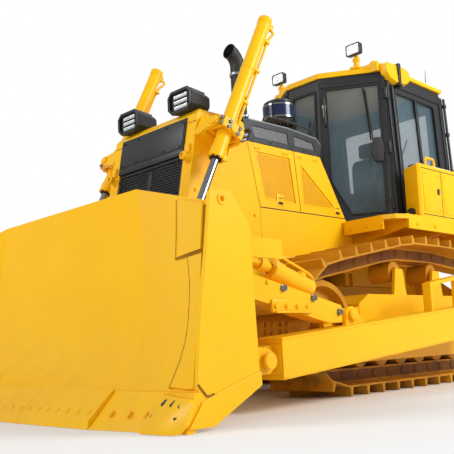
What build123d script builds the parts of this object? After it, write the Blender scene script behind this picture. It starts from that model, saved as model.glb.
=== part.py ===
from build123d import *

import os
from math import atan2, cos, hypot, pi, radians, sin, tan

# A crawler dozer. X runs across it (the driver's left is +X), Y runs from the blade (-Y) to the hitch (+Y)
# and Z is up. The origin is on the ground under the middle of its length. All lengths are in millimetres.

# ---------------------------------------------------------------- driving dimensions
track_gauge = 2140          # from the middle of one track to the middle of the other
shoe_width = 660
shoe_pitch = 228            # nominal; the loop is divided into the nearest whole number of shoes
shoe_plate = 14
grouser_height = 72
grouser_tip = 20
grouser_root = 44
link_height = 125           # from the running face of the rail to the inner face of the shoe
rail_width = 50
rail_gap = 110              # between the two rails of a chain

idler_y, idler_z = -772, 590
sprocket_y, sprocket_z = 2440, 640
carrier_ys = (300, 960)
carrier_radius = 110
track_crown = 1304          # inner face of the shoes over the carrier rollers
roller_radius = 115
roller_first, roller_last, roller_count = -330, 1900, 8
ground_end = 2060           # where the shoes start to rise to the sprocket
sprocket_clearance = 23     # the sprocket lifts its shoes this far off the ground line

frame_beam_width = 340
frame_beam_bottom, frame_beam_top = 480, 846
frame_beam_front, frame_beam_rear = -275, 1860
guard_plate = 18
running_gap = 0.3           # between a wheel and what it runs on
pin_gap = 0.5               # round a pin that turns

rail_x, rail_thickness = 380, 100           # the two long rails of the main frame
frame_bottom, frame_top = 620, 1000
frame_front, frame_rear = -1500, 1500
case_half, case_front, case_rear = 420, 1500, 2330
case_bottom, case_top = 560, 1240
drive_radius = 330
pivot_y, pivot_z, pivot_radius = 1650, 660, 85
bar_y, bar_z = 10, 730                      # equaliser bar
bar_thickness, bar_height, bar_pin = 110, 110, 34

hood_half = 575             # outer face of the engine doors
panel = 30                  # thickness of hood panels and doors
panel_gap = 10
guard_half = 580
guard_top = 2455
face_top = (-1563, 2400)    # y, z of the header panel's upper edge
face_foot = (-1629, 2070)   # y, z of its lower edge
header_half = 460
grille_bottom = 1180
door_top, door_bottom = 2270, 1685
skirt_bottom = 1120
seam_front = (-967, -838)   # y of the front door's front edge, at its top and at its foot
seam_middle = (-331, -270)
seam_rear = (74, 423)
screen_top = 2480

cab_bottom, cab_top = 1640, 3300
cab_lean = 2.5              # every cab wall leans in by this angle
cab_wall = 60
cab_front, cab_rear = 520, 2220
cab_nose_half, cab_half, cab_rear_half = 240, 880, 850
pillar_y = 950              # where the angled door side meets the straight side
roof_top = 3365
glass_thickness = 12

deck_top, deck_thickness = 1640, 45
deck_front, deck_rear, deck_half = 370, 2300, 1225
tank_inner, tank_outer = 965, 1220
tank_front, tank_rear, tank_top = 819, 2160, 2190

blade_half = 2030
blade_plate = 30
edge_foot = -3175           # y of the cutting edge on the ground
end_plate = 30
box_rear = -2400            # rear face of the blade's box beams

trunnion_y, trunnion_z, trunnion_radius = 1200, 620, 70
blade_pin_y, blade_pin_z, blade_pin_radius = -2075, 340, 45
arm_clearance, arm_width = 90, 260      # from the track's outer edge to the push arm, and the arm's width
arm_inner = (track_gauge + shoe_width) / 2 + arm_clearance
arm_outer = arm_inner + arm_width
arm_height = 280
brace_x = 1560
brace_foot = (-1010, 640)   # y, z of its pin over the arm
brace_head = (-2290, 895)   # y, z of its pin behind the blade
tilt_foot = (-1427, 841)    # y, z of the lower end of the tilt cylinder's barrel, on the brace
tilt_head = (-2290, 1120)   # y, z of its pin behind the blade

lift_x = 780
lift_pivot = (-1434, 2230)  # y, z of the cylinder's trunnions
lift_eye = (-2089, 950)     # y, z of the rod's pin behind the blade
barrel_radius, rod_radius = 62, 34
barrel_below, barrel_above = 285, 1260
lift_pin_radius, trunnion_pin_radius = 38, 28
eye_radius, eye_width = 62, 90
lug_gap = 8
yoke_half, yoke_wall, yoke_pin = 100, 28, 24
lift_ear_reach, lift_ear = 150, 26      # from the lift trunnion to the far face of each ear; its thickness

sides = (("left", 1), ("right", -1))


lift_length = hypot(lift_pivot[0] - lift_eye[0], lift_pivot[1] - lift_eye[1])
lift_up = Vector(0, (lift_pivot[0] - lift_eye[0]) / lift_length, (lift_pivot[1] - lift_eye[1]) / lift_length)
lift_aft = Vector(0, lift_up.Z, -lift_up.Y)


def lift_plane(sign, reach):
    """Plane square to a yoke's fore and aft axis, at a distance from the trunnion. Y runs up the cylinder."""
    centre = Vector(sign * lift_x, *lift_pivot) + lift_aft * reach
    return Plane(centre, x_dir=(-1, 0, 0), z_dir=lift_aft)


def barrel_plane(sign, rise):
    """Plane square to a lift cylinder, at a distance up it from the trunnion. X runs across the machine."""
    centre = Vector(sign * lift_x, *lift_pivot) + lift_up * rise
    return Plane(centre, x_dir=(1, 0, 0), z_dir=lift_up)


def finish(piece, name):
    """Label a piece and write its file."""
    piece.part.label = name
    export_step(piece.part, "parts/" + name + ".step")


def sweep_band(sign, near, far):
    """Where a plate between two distances from the middle starts on one side, and its thickness."""
    return (near if sign > 0 else -far), far - near


os.makedirs("parts", exist_ok=True)

# ---------------------------------------------------------------- the track's line
# The belt line is the inner face of the shoes. It wraps the wheels below, taken rearwards under the
# machine, up over the sprocket and forwards over the carrier rollers.
belt_bottom = grouser_height + shoe_plate
idler_belt = idler_z - belt_bottom
sprocket_belt = sprocket_z - belt_bottom - sprocket_clearance + 7
roller_z = belt_bottom + link_height + roller_radius
roller_belt = roller_radius + link_height
carrier_belt = carrier_radius + link_height
carrier_z = track_crown - carrier_belt
roller_step = (roller_last - roller_first) / (roller_count - 1)
roller_ys = [roller_first + roller_step * index for index in range(roller_count)]
wheels = [(idler_y, idler_z, idler_belt), (ground_end, roller_z, roller_belt),
          (sprocket_y, sprocket_z, sprocket_belt)]
wheels += [(y, carrier_z, carrier_belt) for y in reversed(carrier_ys)]


def run_normal(wheel, following):
    """Outward direction, in radians, of the straight run from one wheel to the next."""
    reach_y, reach_z = following[0] - wheel[0], following[1] - wheel[1]
    span = hypot(reach_y, reach_z)
    return atan2(reach_z, reach_y) - pi / 2 + atan2(wheel[2] - following[2], span)


def belt_pieces():
    """The loop as (kind, length, data): arcs about a wheel and straight runs, starting under the idler."""
    pieces = []
    count = len(wheels)
    for index, wheel in enumerate(wheels):
        leaving = run_normal(wheel, wheels[(index + 1) % count])
        arriving = run_normal(wheels[index - 1], wheel)
        turn = (leaving - arriving) % (2 * pi)
        pieces.append(("arc", turn * wheel[2], (wheel, arriving)))
        following = wheels[(index + 1) % count]
        start = (wheel[0] + wheel[2] * cos(leaving), wheel[1] + wheel[2] * sin(leaving))
        end = (following[0] + following[2] * cos(leaving), following[1] + following[2] * sin(leaving))
        pieces.append(("run", hypot(end[0] - start[0], end[1] - start[1]), (start, end)))
    return pieces


belt = belt_pieces()
belt_length = sum(piece[1] for piece in belt)
shoe_count = round(belt_length / shoe_pitch)
shoe_step = belt_length / shoe_count


def belt_point(travel):
    """The point of the belt line at a distance along it."""
    travel %= belt_length
    for kind, length, data in belt:
        if travel > length:
            travel -= length
            continue
        if kind == "arc":
            (y, z, radius), arriving = data
            angle = arriving + travel / radius
            return y + radius * cos(angle), z + radius * sin(angle)
        share = travel / length
        return tuple(a + (b - a) * share for a, b in zip(*data))


grouser_start = 0.1 * shoe_step
idler_arc = belt[0][1]
joints = [belt_point(idler_arc + shoe_step * k - grouser_start) for k in range(shoe_count)]


def joint_offset(index, height):
    """The loop's joint moved outwards from the belt line by a height, square to both its shoes."""
    before, here, after = joints[index - 1], joints[index], joints[(index + 1) % shoe_count]
    first = atan2(here[1] - before[1], here[0] - before[0])
    turn = (atan2(after[1] - here[1], after[0] - here[0]) - first + pi) % (2 * pi) - pi
    normal = first + turn / 2 - pi / 2
    reach = height / cos(turn / 2)
    return here[0] + reach * cos(normal), here[1] + reach * sin(normal)


def shoe_outline():
    """Outer outline of the shoes, each with one grouser near its leading edge."""
    outline = []
    for index in range(shoe_count):
        here, after = joints[index], joints[(index + 1) % shoe_count]
        along = atan2(after[1] - here[1], after[0] - here[0])
        slope = (grouser_root - grouser_tip) / 2
        outline.append(joint_offset(index, shoe_plate))
        for run, height in ((0, 0), (slope, grouser_height), (slope + grouser_tip, grouser_height),
                            (grouser_root, 0)):
            run += grouser_start - grouser_root / 2 + slope
            rise = shoe_plate + height
            outline.append((here[0] + run * cos(along) + rise * sin(along),
                            here[1] + run * sin(along) - rise * cos(along)))
    return outline


belt_line = [joint_offset(index, 0) for index in range(shoe_count)]
rail_line = [joint_offset(index, -link_height) for index in range(shoe_count)]


def loop_ring(plane, outer, inner, width):
    """A ring between two closed outlines, as wide as given."""
    with BuildSketch(plane) as ring:
        Polygon(*outer, align=None)
        Polygon(*inner, align=None, mode=Mode.SUBTRACT)
    extrude(ring.sketch, amount=width)


for name, sign in sides:
    middle = sign * track_gauge / 2
    with BuildPart() as track:
        loop_ring(Plane.YZ.offset(middle - shoe_width / 2), shoe_outline(), belt_line, shoe_width)
        for start in (-rail_gap / 2 - rail_width, rail_gap / 2):
            loop_ring(Plane.YZ.offset(middle + start), belt_line, rail_line, rail_width)
    finish(track, "track_" + name)

# ---------------------------------------------------------------- wheels of the undercarriage
rail_outer = rail_gap / 2 + rail_width
half_turn = shoe_step / 2


def tread_radius(belt_radius):
    """Radius at which a wheel's tread meets the flats of the chain."""
    return (belt_radius ** 2 - half_turn ** 2) ** 0.5 - link_height - running_gap


idler_tread = tread_radius(idler_belt)
idler_flange = idler_tread + 22
wheel_rim = 46
idler_hub = 90
axle_radius = 42

with BuildPart() as idlers:
    for _, sign in sides:
        middle = sign * track_gauge / 2
        with BuildSketch(Plane.XZ.offset(-idler_y)):
            with BuildLine():
                Polyline((middle - rail_outer, idler_z + idler_tread - wheel_rim),
                         (middle - rail_outer, idler_z + idler_tread),
                         (middle - rail_gap / 2 + 4, idler_z + idler_tread),
                         (middle - rail_gap / 2 + 4, idler_z + idler_flange),
                         (middle + rail_gap / 2 - 4, idler_z + idler_flange),
                         (middle + rail_gap / 2 - 4, idler_z + idler_tread),
                         (middle + rail_outer, idler_z + idler_tread),
                         (middle + rail_outer, idler_z + idler_tread - wheel_rim),
                         (middle + 30, idler_z + idler_tread - wheel_rim - 20),
                         (middle + 30, idler_z + idler_hub),
                         (middle + rail_outer - 10, idler_z + idler_hub),
                         (middle + rail_outer - 10, idler_z),
                         (middle - rail_outer + 10, idler_z),
                         (middle - rail_outer + 10, idler_z + idler_hub),
                         (middle - 30, idler_z + idler_hub),
                         (middle - 30, idler_z + idler_tread - wheel_rim - 20), close=True)
            make_face()
        revolve(axis=Axis((0, idler_y, idler_z), (1, 0, 0)))
finish(idlers, "idlers")

sprocket_half = rail_gap / 2 - 12
sprocket_teeth = 13
sprocket_tip = sprocket_belt - 26
sprocket_root = sprocket_belt - link_height - 20
hub_half = 150
hub_radius = 250

with BuildPart() as sprockets:
    for _, sign in sides:
        middle = sign * track_gauge / 2
        with BuildSketch(Plane.YZ.offset(middle - sprocket_half)):
            with Locations((sprocket_y, sprocket_z)):
                Circle(sprocket_root)
                with PolarLocations(0, sprocket_teeth):
                    with Locations((sprocket_root - 20, 0)):
                        Trapezoid(sprocket_tip - sprocket_root + 20, 130, 70, rotation=-90,
                                  align=(Align.CENTER, Align.MIN))
        extrude(amount=2 * sprocket_half)
        with BuildSketch(Plane.YZ.offset(middle)):
            with Locations((sprocket_y, sprocket_z)):
                Circle(hub_radius)
        extrude(amount=sign * hub_half)
finish(sprockets, "sprockets")


def flanged_roller(middle, y, z, radius, half, axle_half):
    """A roller with two treads, its flanges just outside the rails, and its axle."""
    with Locations(Plane((middle, y, z), x_dir=(0, 1, 0), z_dir=(1, 0, 0))):
        Cylinder(radius, 2 * half)
        Cylinder(axle_radius, 2 * axle_half)


roller_half = rail_outer + 15
guard_inner = roller_half + 3
with BuildPart() as track_rollers:
    for _, sign in sides:
        for y in roller_ys:
            flanged_roller(sign * track_gauge / 2, y, roller_z - running_gap / 2,
                           roller_radius - running_gap / 2, roller_half, guard_inner)
finish(track_rollers, "track_rollers")

carrier_half = rail_outer + 10
carrier_sag = 14            # the chain bridges a small wheel in flats
with BuildPart() as carrier_rollers:
    for _, sign in sides:
        for y in carrier_ys:
            flanged_roller(sign * track_gauge / 2, y, carrier_z, carrier_radius - carrier_sag,
                           carrier_half, carrier_half + 25)
finish(carrier_rollers, "carrier_rollers")

# ---------------------------------------------------------------- track frames
guard_bottom = roller_z - 70
bearing_plate = 30
fork_half = rail_outer + 5
fork_bar = 55

for name, sign in sides:
    middle = sign * track_gauge / 2
    with BuildPart() as track_frame:
        # the long beam, sloped down to the idler at its front
        with BuildSketch(Plane.YZ.offset(middle - frame_beam_width / 2)):
            with BuildLine():
                Polyline((frame_beam_front, frame_beam_bottom), (frame_beam_front - 90, 560),
                         (frame_beam_front - 90, 760), (frame_beam_front + 60, frame_beam_top),
                         (frame_beam_rear - 160, frame_beam_top), (frame_beam_rear, frame_beam_top - 120),
                         (frame_beam_rear, frame_beam_bottom + 60),
                         (frame_beam_rear - 80, frame_beam_bottom), close=True)
            make_face()
        extrude(amount=frame_beam_width)
        # two guards that carry the rollers' axles
        for shift in (-guard_inner - guard_plate, guard_inner):
            with BuildSketch(Plane.YZ.offset(middle + shift)):
                with BuildLine():
                    Polyline((roller_ys[0] - 100, frame_beam_bottom), (roller_ys[0] - 60, guard_bottom),
                             (roller_ys[-1] + 60, guard_bottom),
                             (roller_ys[-1] + 100, frame_beam_bottom - 60),
                             (frame_beam_rear - 80, frame_beam_bottom + 10),
                             (roller_ys[0] - 20, frame_beam_bottom + 10), close=True)
                make_face()
            extrude(amount=guard_plate)
        # the idler's fork, with its bearing plates on each side of the wheel
        for shift in (-fork_half - fork_bar, fork_half):
            with BuildSketch(Plane.YZ.offset(middle + shift)):
                with Locations((idler_y, idler_z)):
                    Circle(95)
                with BuildLine():
                    Polyline((idler_y, idler_z - 80), (frame_beam_front - 60, 570),
                             (frame_beam_front - 60, 740), (idler_y, idler_z + 80), close=True)
                make_face()
            extrude(amount=fork_bar)
        with Locations((middle, frame_beam_front - 65, 655)):
            Box(2 * (fork_half + fork_bar), 60, 180)
        # stands of the carrier rollers, on the outer side
        for y in carrier_ys:
            stand, depth = sweep_band(sign, carrier_half + 25, carrier_half + 25 + bearing_plate)
            with BuildSketch(Plane.YZ.offset(middle + stand)):
                with BuildLine():
                    Polyline((y - 110, frame_beam_top - 30), (y + 110, frame_beam_top - 30),
                             (y + 60, carrier_z + 20), (y - 60, carrier_z + 20), close=True)
                make_face()
            extrude(amount=depth)
        # the stub on which the push arm turns
        root_x = track_gauge / 2 + frame_beam_width / 2 - 40
        with BuildSketch(Plane.YZ.offset(sign * root_x)):
            with Locations((trunnion_y, trunnion_z)):
                Circle(trunnion_radius)
        extrude(amount=sign * (arm_outer + 12 - root_x))
        with BuildSketch(Plane.YZ.offset(sign * root_x)):
            with Locations((trunnion_y, trunnion_z)):
                Circle(trunnion_radius + 60)
        extrude(amount=sign * (arm_inner - 60 - root_x), taper=12)
        # bore for the pivot shaft
        with Locations(Plane((middle, pivot_y, pivot_z), x_dir=(0, 1, 0), z_dir=(1, 0, 0))):
            Cylinder(pivot_radius + pin_gap, frame_beam_width + 2, mode=Mode.SUBTRACT)
    finish(track_frame, "track_frame_" + name)

# ---------------------------------------------------------------- main frame and drive line
with BuildPart() as main_frame:
    for _, sign in sides:
        with BuildSketch(Plane.YZ.offset(sign * rail_x - rail_thickness / 2)):
            with BuildLine():
                Polyline((frame_front, frame_bottom + 60), (frame_front + 150, frame_bottom),
                         (frame_rear, frame_bottom), (frame_rear, frame_top),
                         (frame_front, frame_top), close=True)
            make_face()
        extrude(amount=rail_thickness)
    rail_inside = 2 * rail_x - rail_thickness + 10
    for y, depth, foot in ((frame_front + 90, 180, 80), (bar_y, 200, 20), (frame_rear - 60, 120, 20)):
        with Locations((0, y, frame_bottom + foot + 90)):
            Box(rail_inside, depth, 180)
    # the equaliser bar rocks on a pin in a slot across the rails
    with Locations((0, bar_y, bar_z)):
        Box(2 * rail_x + rail_thickness + 2, bar_thickness + 4, bar_height + 40, mode=Mode.SUBTRACT)
        Cylinder(bar_pin, 200, rotation=(90, 0, 0))
finish(main_frame, "main_frame")

with BuildPart() as belly_guard:
    with BuildSketch(Plane.YZ.offset(-rail_x - 40)):
        with BuildLine():
            Polyline((frame_front + 20, frame_bottom + 52), (frame_front + 150, frame_bottom - 0.3),
                     (frame_rear - 10, frame_bottom - 0.3), (frame_rear - 10, frame_bottom - 20),
                     (frame_front + 140, frame_bottom - 20), (frame_front - 10, frame_bottom + 42),
                     close=True)
        make_face()
    extrude(amount=2 * (rail_x + 40))
finish(belly_guard, "belly_guard")

with BuildPart() as power_case:
    with BuildSketch(Plane.YZ.offset(-case_half)):
        with BuildLine():
            Polyline((case_front, case_bottom + 40), (case_front + 60, case_bottom),
                     (case_rear - 120, case_bottom), (case_rear, case_bottom + 130),
                     (case_rear, case_top - 60), (case_rear - 60, case_top),
                     (case_front, case_top), close=True)
        make_face()
    extrude(amount=2 * case_half)
    with Locations(Plane((0, pivot_y, pivot_z), x_dir=(0, 1, 0), z_dir=(1, 0, 0))):
        Cylinder(pivot_radius + pin_gap, 2 * case_half + 2, mode=Mode.SUBTRACT)
    # bolt holes of the rear plate
    with Locations(Plane.XZ.offset(-case_rear)):
        with Locations((0, 900)):
            with GridLocations(480, 360, 2, 2):
                Hole(20, 70)
finish(power_case, "power_case")

with BuildPart() as pivot_shaft:
    with Locations(Plane((0, pivot_y, pivot_z), x_dir=(0, 1, 0), z_dir=(1, 0, 0))):
        Cylinder(pivot_radius, track_gauge + frame_beam_width + 20)
finish(pivot_shaft, "pivot_shaft")

bar_end = track_gauge / 2 - frame_beam_width / 2 - 0.3
with BuildPart() as equalizer_bar:
    with BuildSketch(Plane.XZ.offset(-bar_y)):
        with Locations((0, bar_z)):
            Rectangle(2 * bar_end, bar_height - 20)
            Rectangle(160, bar_height)
            Circle(bar_pin + pin_gap, mode=Mode.SUBTRACT)
    extrude(amount=bar_thickness / 2, both=True)
finish(equalizer_bar, "equalizer_bar")

drive_inner = case_half + 0.3
drive_outer = track_gauge / 2 - sprocket_half - 0.3
with BuildPart() as final_drives:
    for _, sign in sides:
        with BuildSketch(Plane.YZ.offset(sign * drive_inner)):
            with Locations((sprocket_y, sprocket_z)):
                Circle(drive_radius)
            with BuildLine():
                Polyline((case_front + 420, case_bottom + 60), (sprocket_y, sprocket_z - drive_radius),
                         (sprocket_y, sprocket_z + drive_radius), (case_front + 420, case_top - 90),
                         close=True)
            make_face()
        extrude(amount=sign * 200)
        with BuildSketch(Plane.YZ.offset(sign * (drive_inner + 200))):
            with Locations((sprocket_y, sprocket_z)):
                Circle(drive_radius - 30)
        extrude(amount=sign * (drive_outer - drive_inner - 200), taper=6)
finish(final_drives, "final_drives")

engine_half = rail_x - rail_thickness / 2 - 5
engine_wall, engine_height, engine_shoulder = 500, 850, 100
engine_front, engine_rear = -1000, 250
with BuildPart() as engine:
    with BuildSketch(Plane.XZ.offset(-engine_rear)):
        with BuildLine():
            crown_half = engine_half - engine_shoulder
            Polyline((-engine_half, frame_top - 120), (engine_half, frame_top - 120),
                     (engine_half, frame_top + engine_wall), (crown_half, frame_top + engine_height),
                     (-crown_half, frame_top + engine_height), (-engine_half, frame_top + engine_wall),
                     close=True)
        make_face()
    extrude(amount=engine_rear - engine_front)
    for _, sign in sides:
        with Locations((sign * rail_x, -450, frame_top + 40.3), (sign * rail_x, 150, frame_top + 40.3)):
            Box(rail_thickness + 40, 120, 80)
finish(engine, "engine")

drawbar_y, drawbar_z = 3095, 620
drawbar_end = 80
drawbar_pin = 32
with BuildPart() as drawbar:
    with BuildSketch(Plane.XY.offset(drawbar_z - 40)):
        with BuildLine():
            Polyline((-150, case_rear + 20), (150, case_rear + 20), (drawbar_end, drawbar_y),
                     (-drawbar_end, drawbar_y), close=True)
        make_face()
        with Locations((0, drawbar_y)):
            Circle(drawbar_end)
    extrude(amount=80)
    with Locations((0, case_rear + running_gap + 25, drawbar_z + 60)):
        Box(360, 50, 260)
    with Locations((0, drawbar_y, drawbar_z)):
        Cylinder(drawbar_pin, 82, mode=Mode.SUBTRACT)
finish(drawbar, "drawbar")

# ---------------------------------------------------------------- radiator guard, grille and lamps
face_slope = (face_foot[0] - face_top[0]) / (face_top[1] - face_foot[1])    # forwards for each mm down


def face_y(z):
    """Y of the machine's front face at a height."""
    return face_top[0] + face_slope * (face_top[1] - z)


def seam_y(seam, z):
    """Y of a slanted door seam at a height."""
    share = (door_top - z) / (door_top - door_bottom)
    return seam[0] + (seam[1] - seam[0]) * share


guard_skin = 35
guard_foot = 1000
guard_floor = guard_foot + running_gap
guard_rear_top = seam_y(seam_front, guard_top) - panel_gap
face_wall = 60
flange_rear = -1020
with BuildPart() as radiator_guard:
    with BuildSketch(Plane.YZ.offset(-guard_half)):
        with BuildLine():
            Polyline((face_y(guard_floor), guard_floor), (face_y(guard_top - 40), guard_top - 40),
                     (face_y(guard_top) + 50, guard_top + 18), (guard_rear_top, guard_top + 18),
                     (seam_y(seam_front, door_bottom) - panel_gap, door_bottom),
                     (seam_y(seam_front, door_bottom) - panel_gap, guard_floor), close=True)
        make_face()
    extrude(amount=2 * guard_half)
    chamfer(radiator_guard.edges().filter_by(Axis.Y).group_by(Axis.Z)[-1], 45)
    # the inside, open to the engine bay behind it
    with BuildSketch(Plane.YZ.offset(-guard_half + guard_skin)):
        with BuildLine():
            Polyline((face_y(guard_foot) + face_wall, guard_foot - 1),
                     (face_y(guard_top - 50) + face_wall, guard_top - 50),
                     (0, guard_top - 50), (0, guard_foot - 1), close=True)
        make_face()
    extrude(amount=2 * (guard_half - guard_skin), mode=Mode.SUBTRACT)
    # the opening that the header panel and the grille fill
    with BuildSketch(Plane.XZ.offset(-face_y(guard_foot) + 10)):
        with Locations((0, (grille_bottom + face_top[1]) / 2)):
            Rectangle(2 * header_half, face_top[1] - grille_bottom)
    extrude(amount=-500, mode=Mode.SUBTRACT)
    # flanges that stand on the main frame's rails
    for _, sign in sides:
        across = sign * (guard_half - guard_skin + rail_x) / 2
        with Locations((across, (frame_front + flange_rear) / 2, guard_floor + 12)):
            Box(guard_half - guard_skin - rail_x + 4, flange_rear - frame_front, 24)
    # a bracket each side, with ears fore and aft of the lift cylinder that hold its yoke; the rear ear
    # rises along the guard as a gusset
    gusset_rise = 230
    for _, sign in sides:
        foot = sign * (lift_x - guard_half + 8)
        for reach in (-lift_ear_reach, lift_ear_reach - lift_ear):
            with BuildSketch(lift_plane(sign, reach)):
                with BuildLine():
                    Polyline((foot, -95), (0, -50), (-sign * 46, -26), (-sign * 46, 26), (0, 50),
                             (foot, 95 if reach < 0 else gusset_rise), close=True)
                make_face()
                Circle(yoke_pin + pin_gap, mode=Mode.SUBTRACT)
            extrude(amount=lift_ear)
        with BuildSketch(lift_plane(sign, -lift_ear_reach)):
            with Locations(((foot + sign * (yoke_half + 10)) / 2, 0)):
                Rectangle(lift_x - guard_half + 8 - yoke_half - 10, 190)
        extrude(amount=2 * lift_ear_reach)
finish(radiator_guard, "radiator_guard")

panel_fit = running_gap
with BuildPart() as header_panel:
    with BuildSketch(Plane.YZ.offset(-header_half + panel_fit)):
        with BuildLine():
            top_z = face_top[1] - panel_fit
            Polyline((face_y(face_foot[1]) - 12, face_foot[1]), (face_y(top_z) - 12, top_z),
                     (face_y(top_z) + 40, top_z), (face_y(face_foot[1]) + 40, face_foot[1]), close=True)
        make_face()
    extrude(amount=2 * (header_half - panel_fit))
finish(header_panel, "header_panel")

# The grille's plate leans with the machine's face and is drilled in a hexagonal pattern.
grille_plate = 12
grille_run = (face_foot[1] - grille_bottom) / cos(atan2(face_slope, 1))
grille_height = grille_run - 2 * panel_fit + grille_plate * face_slope
grille_width = 2 * (header_half - panel_fit)
hole_radius, hole_pitch = 40, 84
face_plane = Plane((0, face_y(grille_bottom) + 14, grille_bottom), x_dir=(1, 0, 0),
                   z_dir=(0, -cos(atan2(face_slope, 1)), -sin(atan2(face_slope, 1))))
with BuildPart() as grille:
    with BuildSketch(face_plane):
        with Locations((0, grille_height / 2 + panel_fit)):
            Rectangle(grille_width, grille_height)
        with Locations([(side * (grille_width / 4 + 8), grille_height / 2) for side in (-1, 1)]):
            with HexLocations(hole_pitch / 2, 5, 10):
                RegularPolygon(hole_radius, 6, rotation=30, mode=Mode.SUBTRACT)
    extrude(amount=grille_plate)
finish(grille, "grille")

# ---------------------------------------------------------------- engine hood
skirt_foot_rear = 560
bracket_reach, bracket_height = 200, 260
with BuildPart() as side_panels:
    for _, sign in sides:
        start, depth = sweep_band(sign, hood_half - panel, hood_half)
        with BuildSketch(Plane.YZ.offset(start)):
            with BuildLine():
                Polyline((seam_front[1], skirt_bottom), (seam_front[1], door_bottom - panel_gap),
                         (seam_rear[1] + 4, door_bottom - panel_gap),
                         (skirt_foot_rear - 60, door_bottom - 130), (skirt_foot_rear, skirt_bottom + 60),
                         (skirt_foot_rear, skirt_bottom), close=True)
            make_face()
        extrude(amount=depth)
    # brackets that carry the panels on the main frame, with a shelf along each side
    for _, sign in sides:
        for y in (seam_front[1] + 150, skirt_foot_rear - 130):
            across = hood_half - panel + 4 - bracket_reach / 2
            with Locations((sign * across, y, frame_top + running_gap + bracket_height / 2)):
                Box(bracket_reach, 60, bracket_height)
finish(side_panels, "side_panels")

door_lip = 8
door_tables = {"front": (seam_front, seam_middle), "rear": (seam_middle, seam_rear)}
for place, (fore, aft) in door_tables.items():
    for name, sign in sides:
        start, depth = sweep_band(sign, hood_half - panel, hood_half)
        with BuildPart() as engine_door:
            with BuildSketch(Plane.YZ.offset(start)):
                with BuildLine():
                    Polyline((fore[0] + panel_gap / 2, door_top), (aft[0] - panel_gap / 2, door_top),
                             (aft[1] - panel_gap / 2, door_bottom), (fore[1] + panel_gap / 2, door_bottom),
                             close=True)
                make_face()
            extrude(amount=depth)
            # the pressed field, triangular on the rear door
            outer_face = Plane.YZ.offset(sign * hood_half)
            with BuildSketch(outer_face):
                with BuildLine():
                    if place == "front":
                        Polyline((fore[0] + 100, door_top - 70), (aft[0] - 60, door_top - 70),
                                 (aft[1] - 60, door_bottom + 70), (fore[1] + 80, door_bottom + 70),
                                 close=True)
                    else:
                        Polyline((fore[0] + 90, door_top - 110), (fore[0] + 110, door_bottom + 70),
                                 (aft[1] - 130, door_bottom + 70), close=True)
                make_face()
                fillet(vertices(), 25)
            extrude(amount=-sign * door_lip, mode=Mode.SUBTRACT)
        finish(engine_door, "engine_door_" + place + "_" + name)

hood_end, seal_gap = 60, 4.2
roof_half = hood_half - 55 - running_gap
with BuildPart() as hood_top:
    # a roof between the screens, with its middle raised over the engine
    with BuildSketch(Plane.XZ.offset(-hood_end)):
        with BuildLine():
            Polyline((-roof_half, screen_top - 25), (-roof_half, screen_top),
                     (-hood_half + 130, screen_top + 20), (hood_half - 130, screen_top + 20),
                     (roof_half, screen_top), (roof_half, screen_top - 25), close=True)
        make_face()
    extrude(amount=hood_end - guard_rear_top - seal_gap)
    # cross walls that stand on the engine bay's shelf and carry the roof
    for y in (seam_middle[0], hood_end - 20):
        with BuildSketch(Plane.XZ.offset(-y - 10)):
            with BuildLine():
                Polyline((-roof_half, screen_top - 20), (roof_half, screen_top - 20),
                         (roof_half, door_top + 12), (crown_half, door_top - 30),
                         (-crown_half, door_top - 30), (-roof_half, door_top + 12), close=True)
            make_face()
        extrude(amount=20)
finish(hood_top, "hood_top")

# Black side screens over the doors, each with two meshed windows in shallow recesses. Tabs under them carry
# the doors' hinges.
with BuildPart() as hood_screens:
    for _, sign in sides:
        start, depth = sweep_band(sign, hood_half - 55, hood_half)
        with BuildSketch(Plane.YZ.offset(start)):
            with BuildLine():
                Polyline((seam_y(seam_front, door_top) + panel_gap / 2, door_top + 6),
                         (seam_y(seam_front, screen_top) + panel_gap / 2, screen_top),
                         (seam_middle[0] - 50, screen_top + 4), (30, screen_top - 32),
                         (seam_rear[0] + 28, screen_top - 90), (seam_rear[0] - 4, door_top + 6), close=True)
            make_face()
        extrude(amount=depth)
        with BuildSketch(Plane.YZ.offset(sign * hood_half)):
            with BuildLine():
                Polyline((seam_front[0] + 90, door_top + 50), (seam_front[0] + 55, screen_top - 50),
                         (seam_middle[0] - 70, screen_top - 45), (seam_middle[0] - 50, door_top + 50),
                         close=True)
            make_face()
            with BuildLine():
                Polyline((seam_middle[0] + 10, door_top + 50), (seam_middle[0] + 10, screen_top - 48),
                         (-20, screen_top - 80), (10, door_top + 50), close=True)
            make_face()
        extrude(amount=-sign * 10, mode=Mode.SUBTRACT)
        for fore, aft in door_tables.values():
            for share in (0.2, 0.8):
                y = fore[0] + (aft[0] - fore[0]) * share
                with Locations((sign * (hood_half - 15), y, door_top + 8 + running_gap)):
                    Box(30, 70, 16)
finish(hood_screens, "hood_screens")

lamp_x, lamp_z, lamp_front, lamp_depth = 372, 2574, -1570, 250
lamp_width, lamp_height = 310, 212
with BuildPart() as hood_lamps:
    for _, sign in sides:
        for depth, share in ((0, 1), (lamp_depth, 0.72)):
            with BuildSketch(Plane.XZ.offset(-lamp_front - depth)):
                with Locations((sign * lamp_x, lamp_z)):
                    Rectangle(lamp_width * share, lamp_height * share)
                    chamfer(vertices(), 50 * share)
        loft()
        # the lens sits back in its rim
        with BuildSketch(Plane.XZ.offset(-lamp_front)):
            with Locations((sign * lamp_x, lamp_z)):
                Rectangle(lamp_width - 44, lamp_height - 44)
                chamfer(vertices(), 30)
        extrude(amount=-18, mode=Mode.SUBTRACT)
        foot_top = lamp_z - lamp_height / 2 + 30
        foot_bottom = guard_top + 18.3
        with Locations((sign * lamp_x, lamp_front + lamp_depth - 80, (foot_top + foot_bottom) / 2)):
            Box(120, 90, foot_top - foot_bottom)
finish(hood_lamps, "hood_lamps")

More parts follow.
